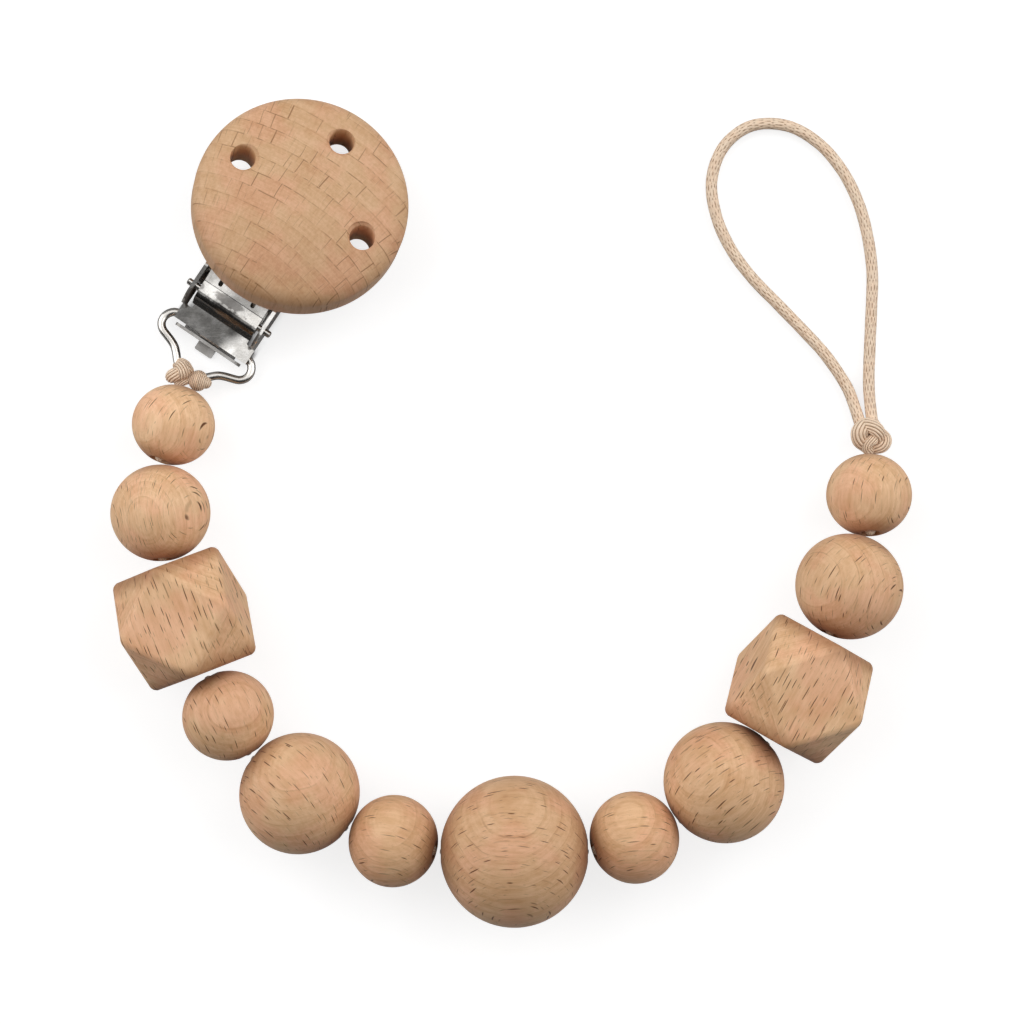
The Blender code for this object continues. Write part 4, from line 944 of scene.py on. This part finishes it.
def build_bead(number):
    """One bead, turned or faceted, in its own beech."""
    joint = JOINTS[f"bead_spin_{number:02d}"]
    diameter = (DIAMETERS[number - 1] - SHORTER) * MM
    place = thread_frame(joint)
    compass, rise, turn, reach, seed, *figure = WOODS[number]
    own = wood_frame(place.translation, compass, rise)
    name = f"beech_bead_{number:02d}"
    if number in ROLLS:
        place = place @ Matrix.Rotation(math.radians(ROLLS[number]), 4, "X")
        own = place
        bm = facet_block(diameter)
        bmesh.ops.transform(bm, matrix=place, verts=bm.verts)
        bead = add_object(name, bm)
        cut(bead, [mouth_cutter("mouth", diameter / 2, place)])
        bead.data.transform(own.inverted())
        bead.matrix_world = own
        smooth(bead, 40)
        bead.modifiers.new("normals", "WEIGHTED_NORMAL").keep_sharp = True
        apply_modifiers(bead)
    else:
        bm = lathe(round_profile(diameter / 2, BEAD_STEPS), BEAD_SIDES, closed=True)
        wide = Matrix.Diagonal((1, 1 + WIDER / diameter, 1 + WIDER / diameter, 1))
        bmesh.ops.transform(bm, matrix=place @ wide, verts=bm.verts)
        bead = smooth(add_object(name, bm, own), 40)
    around = math.radians(turn)
    centre = (0.0, reach * math.cos(around), reach * math.sin(around))
    axis = own.to_3x3().inverted() @ place.to_3x3().col[0]
    ends = (axis, diameter / MM * END_SHADE_START, diameter / MM * END_SHADE_FULL, END_SHADE_STRENGTH, True)
    wood = beech(name + "_wood", centre, reach, seed, *figure, RING_SPACING, ends)
    dress(bead, wood)
    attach(bead, f"bead_{number:02d}")
    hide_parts(f"bead_{number:02d}")


def build_cord_run(number):
    """The stretch of cord inside a bead, round at both ends."""
    joint = JOINTS[f"bead_spin_{number:02d}"]
    along = Vector(joint["axis"]).normalized()
    centre = Vector(joint["pos_m"])
    half = DIAMETERS[number - 1] / 2 * MM - CORD_RADIUS
    points = [centre + along * half * (k / 6 - 1) for k in range(13)]
    run = sweep(f"cord_in_bead_{number:02d}", points, CORD_RADIUS, RUN_SIDES)
    dress(run, CORD)
    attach(run, f"cord_run_{number:02d}")
    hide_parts(f"cord_run_{number:02d}")


for bead_number in range(1, 13):
    build_bead(bead_number)
    build_cord_run(bead_number)


# ---- Clip ----

# The disc's seed, rings, flecks, bricks, wander, tone and warmth
DISC_WOOD = (50.2, 1.7, 0.3, 1.8, 0.25, 0.94, 1.02)
DISC_RINGS_TOWARD = Vector((-0.545, -0.839, 0.0))
DISC_PAINTED_SHADE = (0.0, 14.0, 0.28)  # its side towards -Y gets painted shade, away from the far softbox: from and to in mm, and how strong


def dome_height(edge_height, share):
    """The height of the disc's domed top at a share of the way from its middle to its edge."""
    return DISC_THICKNESS - (DISC_THICKNESS - edge_height) * share ** 2


def build_disc():
    """The beech disc on the lever, with three vent holes whose lips are eased."""
    radius = DISC_DIAMETER / 2
    rim = DISC_THICKNESS - DISC_DOME
    profile = [(0.0, 0.0), (0.0, radius * 0.3), (0.0, radius * 0.6)]
    for k in range(7):
        angle = math.pi / 2 * k / 6
        up, inwards = DISC_FOOT_EDGE * (1 - math.cos(angle)), DISC_FOOT_EDGE * (1 - math.sin(angle))
        profile.append((up, radius - inwards))
    for k in range(1, 3):
        profile.append((DISC_FOOT_EDGE + (rim - DISC_EDGE - DISC_FOOT_EDGE) * k / 3, radius))
    for k in range(13):
        angle = math.pi / 2 * 0.85 * k / 12
        down, inwards = DISC_EDGE * (1 - math.sin(angle)), DISC_EDGE * (1 - math.cos(angle))
        profile.append((rim - down, radius - inwards))
    edge_height, edge_radius = profile[-1]
    for k in range(1, 16):
        share = 1 - k / 16
        profile.append((dome_height(edge_height, share), edge_radius * share))
    profile.append((DISC_THICKNESS, 0.0))
    upright = Matrix.Rotation(-math.pi / 2, 4, "Y")
    place = (
        Matrix.Translation(PIVOT) @ CLIP_TURN @ Matrix.Rotation(DISC_TILT, 4, "Y")
        @ Matrix.Translation(DISC_PLACE)
    )
    bm = lathe(profile, DISC_SIDES)
    bmesh.ops.transform(bm, matrix=place @ upright, verts=bm.verts)
    disc = add_object("beech_disc", bm)
    vent_top = dome_height(edge_height, VENT_CIRCLE / edge_radius)
    cutters = []
    for k in (-1, 0, 1):
        angle = math.pi / 2 * k
        lip = [
            (VENT_LIP * math.sin(a), VENT_RADIUS + VENT_LIP * (1 - math.sin(a)))
            for a in (0.0, 0.4, 0.8, 1.2, math.pi / 2)
        ]
        shape = [(-MM, 0.0), (-MM, VENT_RADIUS + VENT_LIP)] + lip
        shape += [(vent_top - deep, wide) for deep, wide in lip[::-1]]
        shape += [(vent_top + 2 * MM, VENT_RADIUS + VENT_LIP * 2), (vent_top + 2 * MM, 0.0)]
        away = Vector((math.cos(angle), math.sin(angle), 0)) * VENT_CIRCLE
        tool = lathe(shape, HOLE_SIDES)
        matrix = place @ Matrix.Translation(away) @ upright
        bmesh.ops.transform(tool, matrix=matrix, verts=tool.verts)
        cutters.append(add_object("vent", tool))
    cut(disc, cutters)
    own = wood_frame(place @ Vector((0, 0, DISC_THICKNESS / 2)), 60, 74)
    disc.data.transform(own.inverted())
    disc.matrix_world = own
    smooth(disc, 50)
    # Painted shade towards -Y, on the disc's side away from the far softbox
    ends = (own.to_3x3().inverted() @ Vector((0.0, -1.0, 0.0)), *DISC_PAINTED_SHADE, False)
    toward = own.to_3x3().inverted() @ DISC_RINGS_TOWARD
    centre = Vector((0.0, toward.y, toward.z)).normalized() * DISC_RINGS_AWAY
    wood = beech("disc_wood", centre, DISC_RINGS_AWAY, *DISC_WOOD, DISC_RING_SPACING, ends)
    dress(disc, wood)
    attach(disc, "clip_lever_assembly")
    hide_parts("wood_disc")


def build_bail():
    """The wire bail, hooked into the rear flanges."""
    hinge = Vector(JOINTS["bail_hinge"]["pos_m"])
    place = Matrix.Translation(hinge) @ CLIP_TURN @ Matrix.Rotation(BAIL_LIFT, 4, "Y")
    side = curve_points([Vector((x, y, 0.0)) * MM for x, y in BAIL_ROUTE], WIRE_STEP)
    half = [Vector((0.0, BAIL_END * MM, 0.0))] + side
    points = [place @ p for p in half + [Vector((p.x, -p.y, p.z)) for p in half[-2::-1]]]
    bail = sweep("wire_bail", points, WIRE_RADIUS, WIRE_SIDES)
    dress(bail, nickel("wire_nickel", (0.60, 0.58, 0.55), 0.22, 0.5, 0.0))
    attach(bail, "bail")
    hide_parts("bail_wire")


build_disc()
build_bail()
# The dark zones are painted shade: on the base in the slots at the ears' feet, on the lever beside
# its left cheek and behind its pin. The small zone in the middle of the lever's top is a painted dark
# reflection.
for node, made in (
        ("clip_base", nickel("base_nickel", (0.83, 0.81, 0.78), 0.14, 0.6, 0.08, (0.16, 0.012), (
            (-1.5, 4.95, 1.7, 0.6, 0.95), (-1.5, -4.95, 1.7, 0.6, 0.95)))),
        ("clip_lever", nickel("lever_nickel", (0.74, 0.72, 0.69), 0.16, 0.7, 0.9, None, (
            (0.6, 0.3, 0.7, 2.4, 0.7), (0.3, 4.8, 0.6, 0.8, 0.6), (-2.4, 0.0, 2.3, 9.0, 0.85)),
            (1.3, -0.45))),
        ("hinge_pin", nickel("pin_nickel", (0.64, 0.62, 0.59), 0.18, 0.6, 0.0)),
        ("spring_plate", nickel("spring_metal", (0.40, 0.39, 0.38), 0.5, 1.0, 0.5)),
        ("jaw_insert", plastic("insert_plastic"))):
    dress(frame["nodes"][node], made)
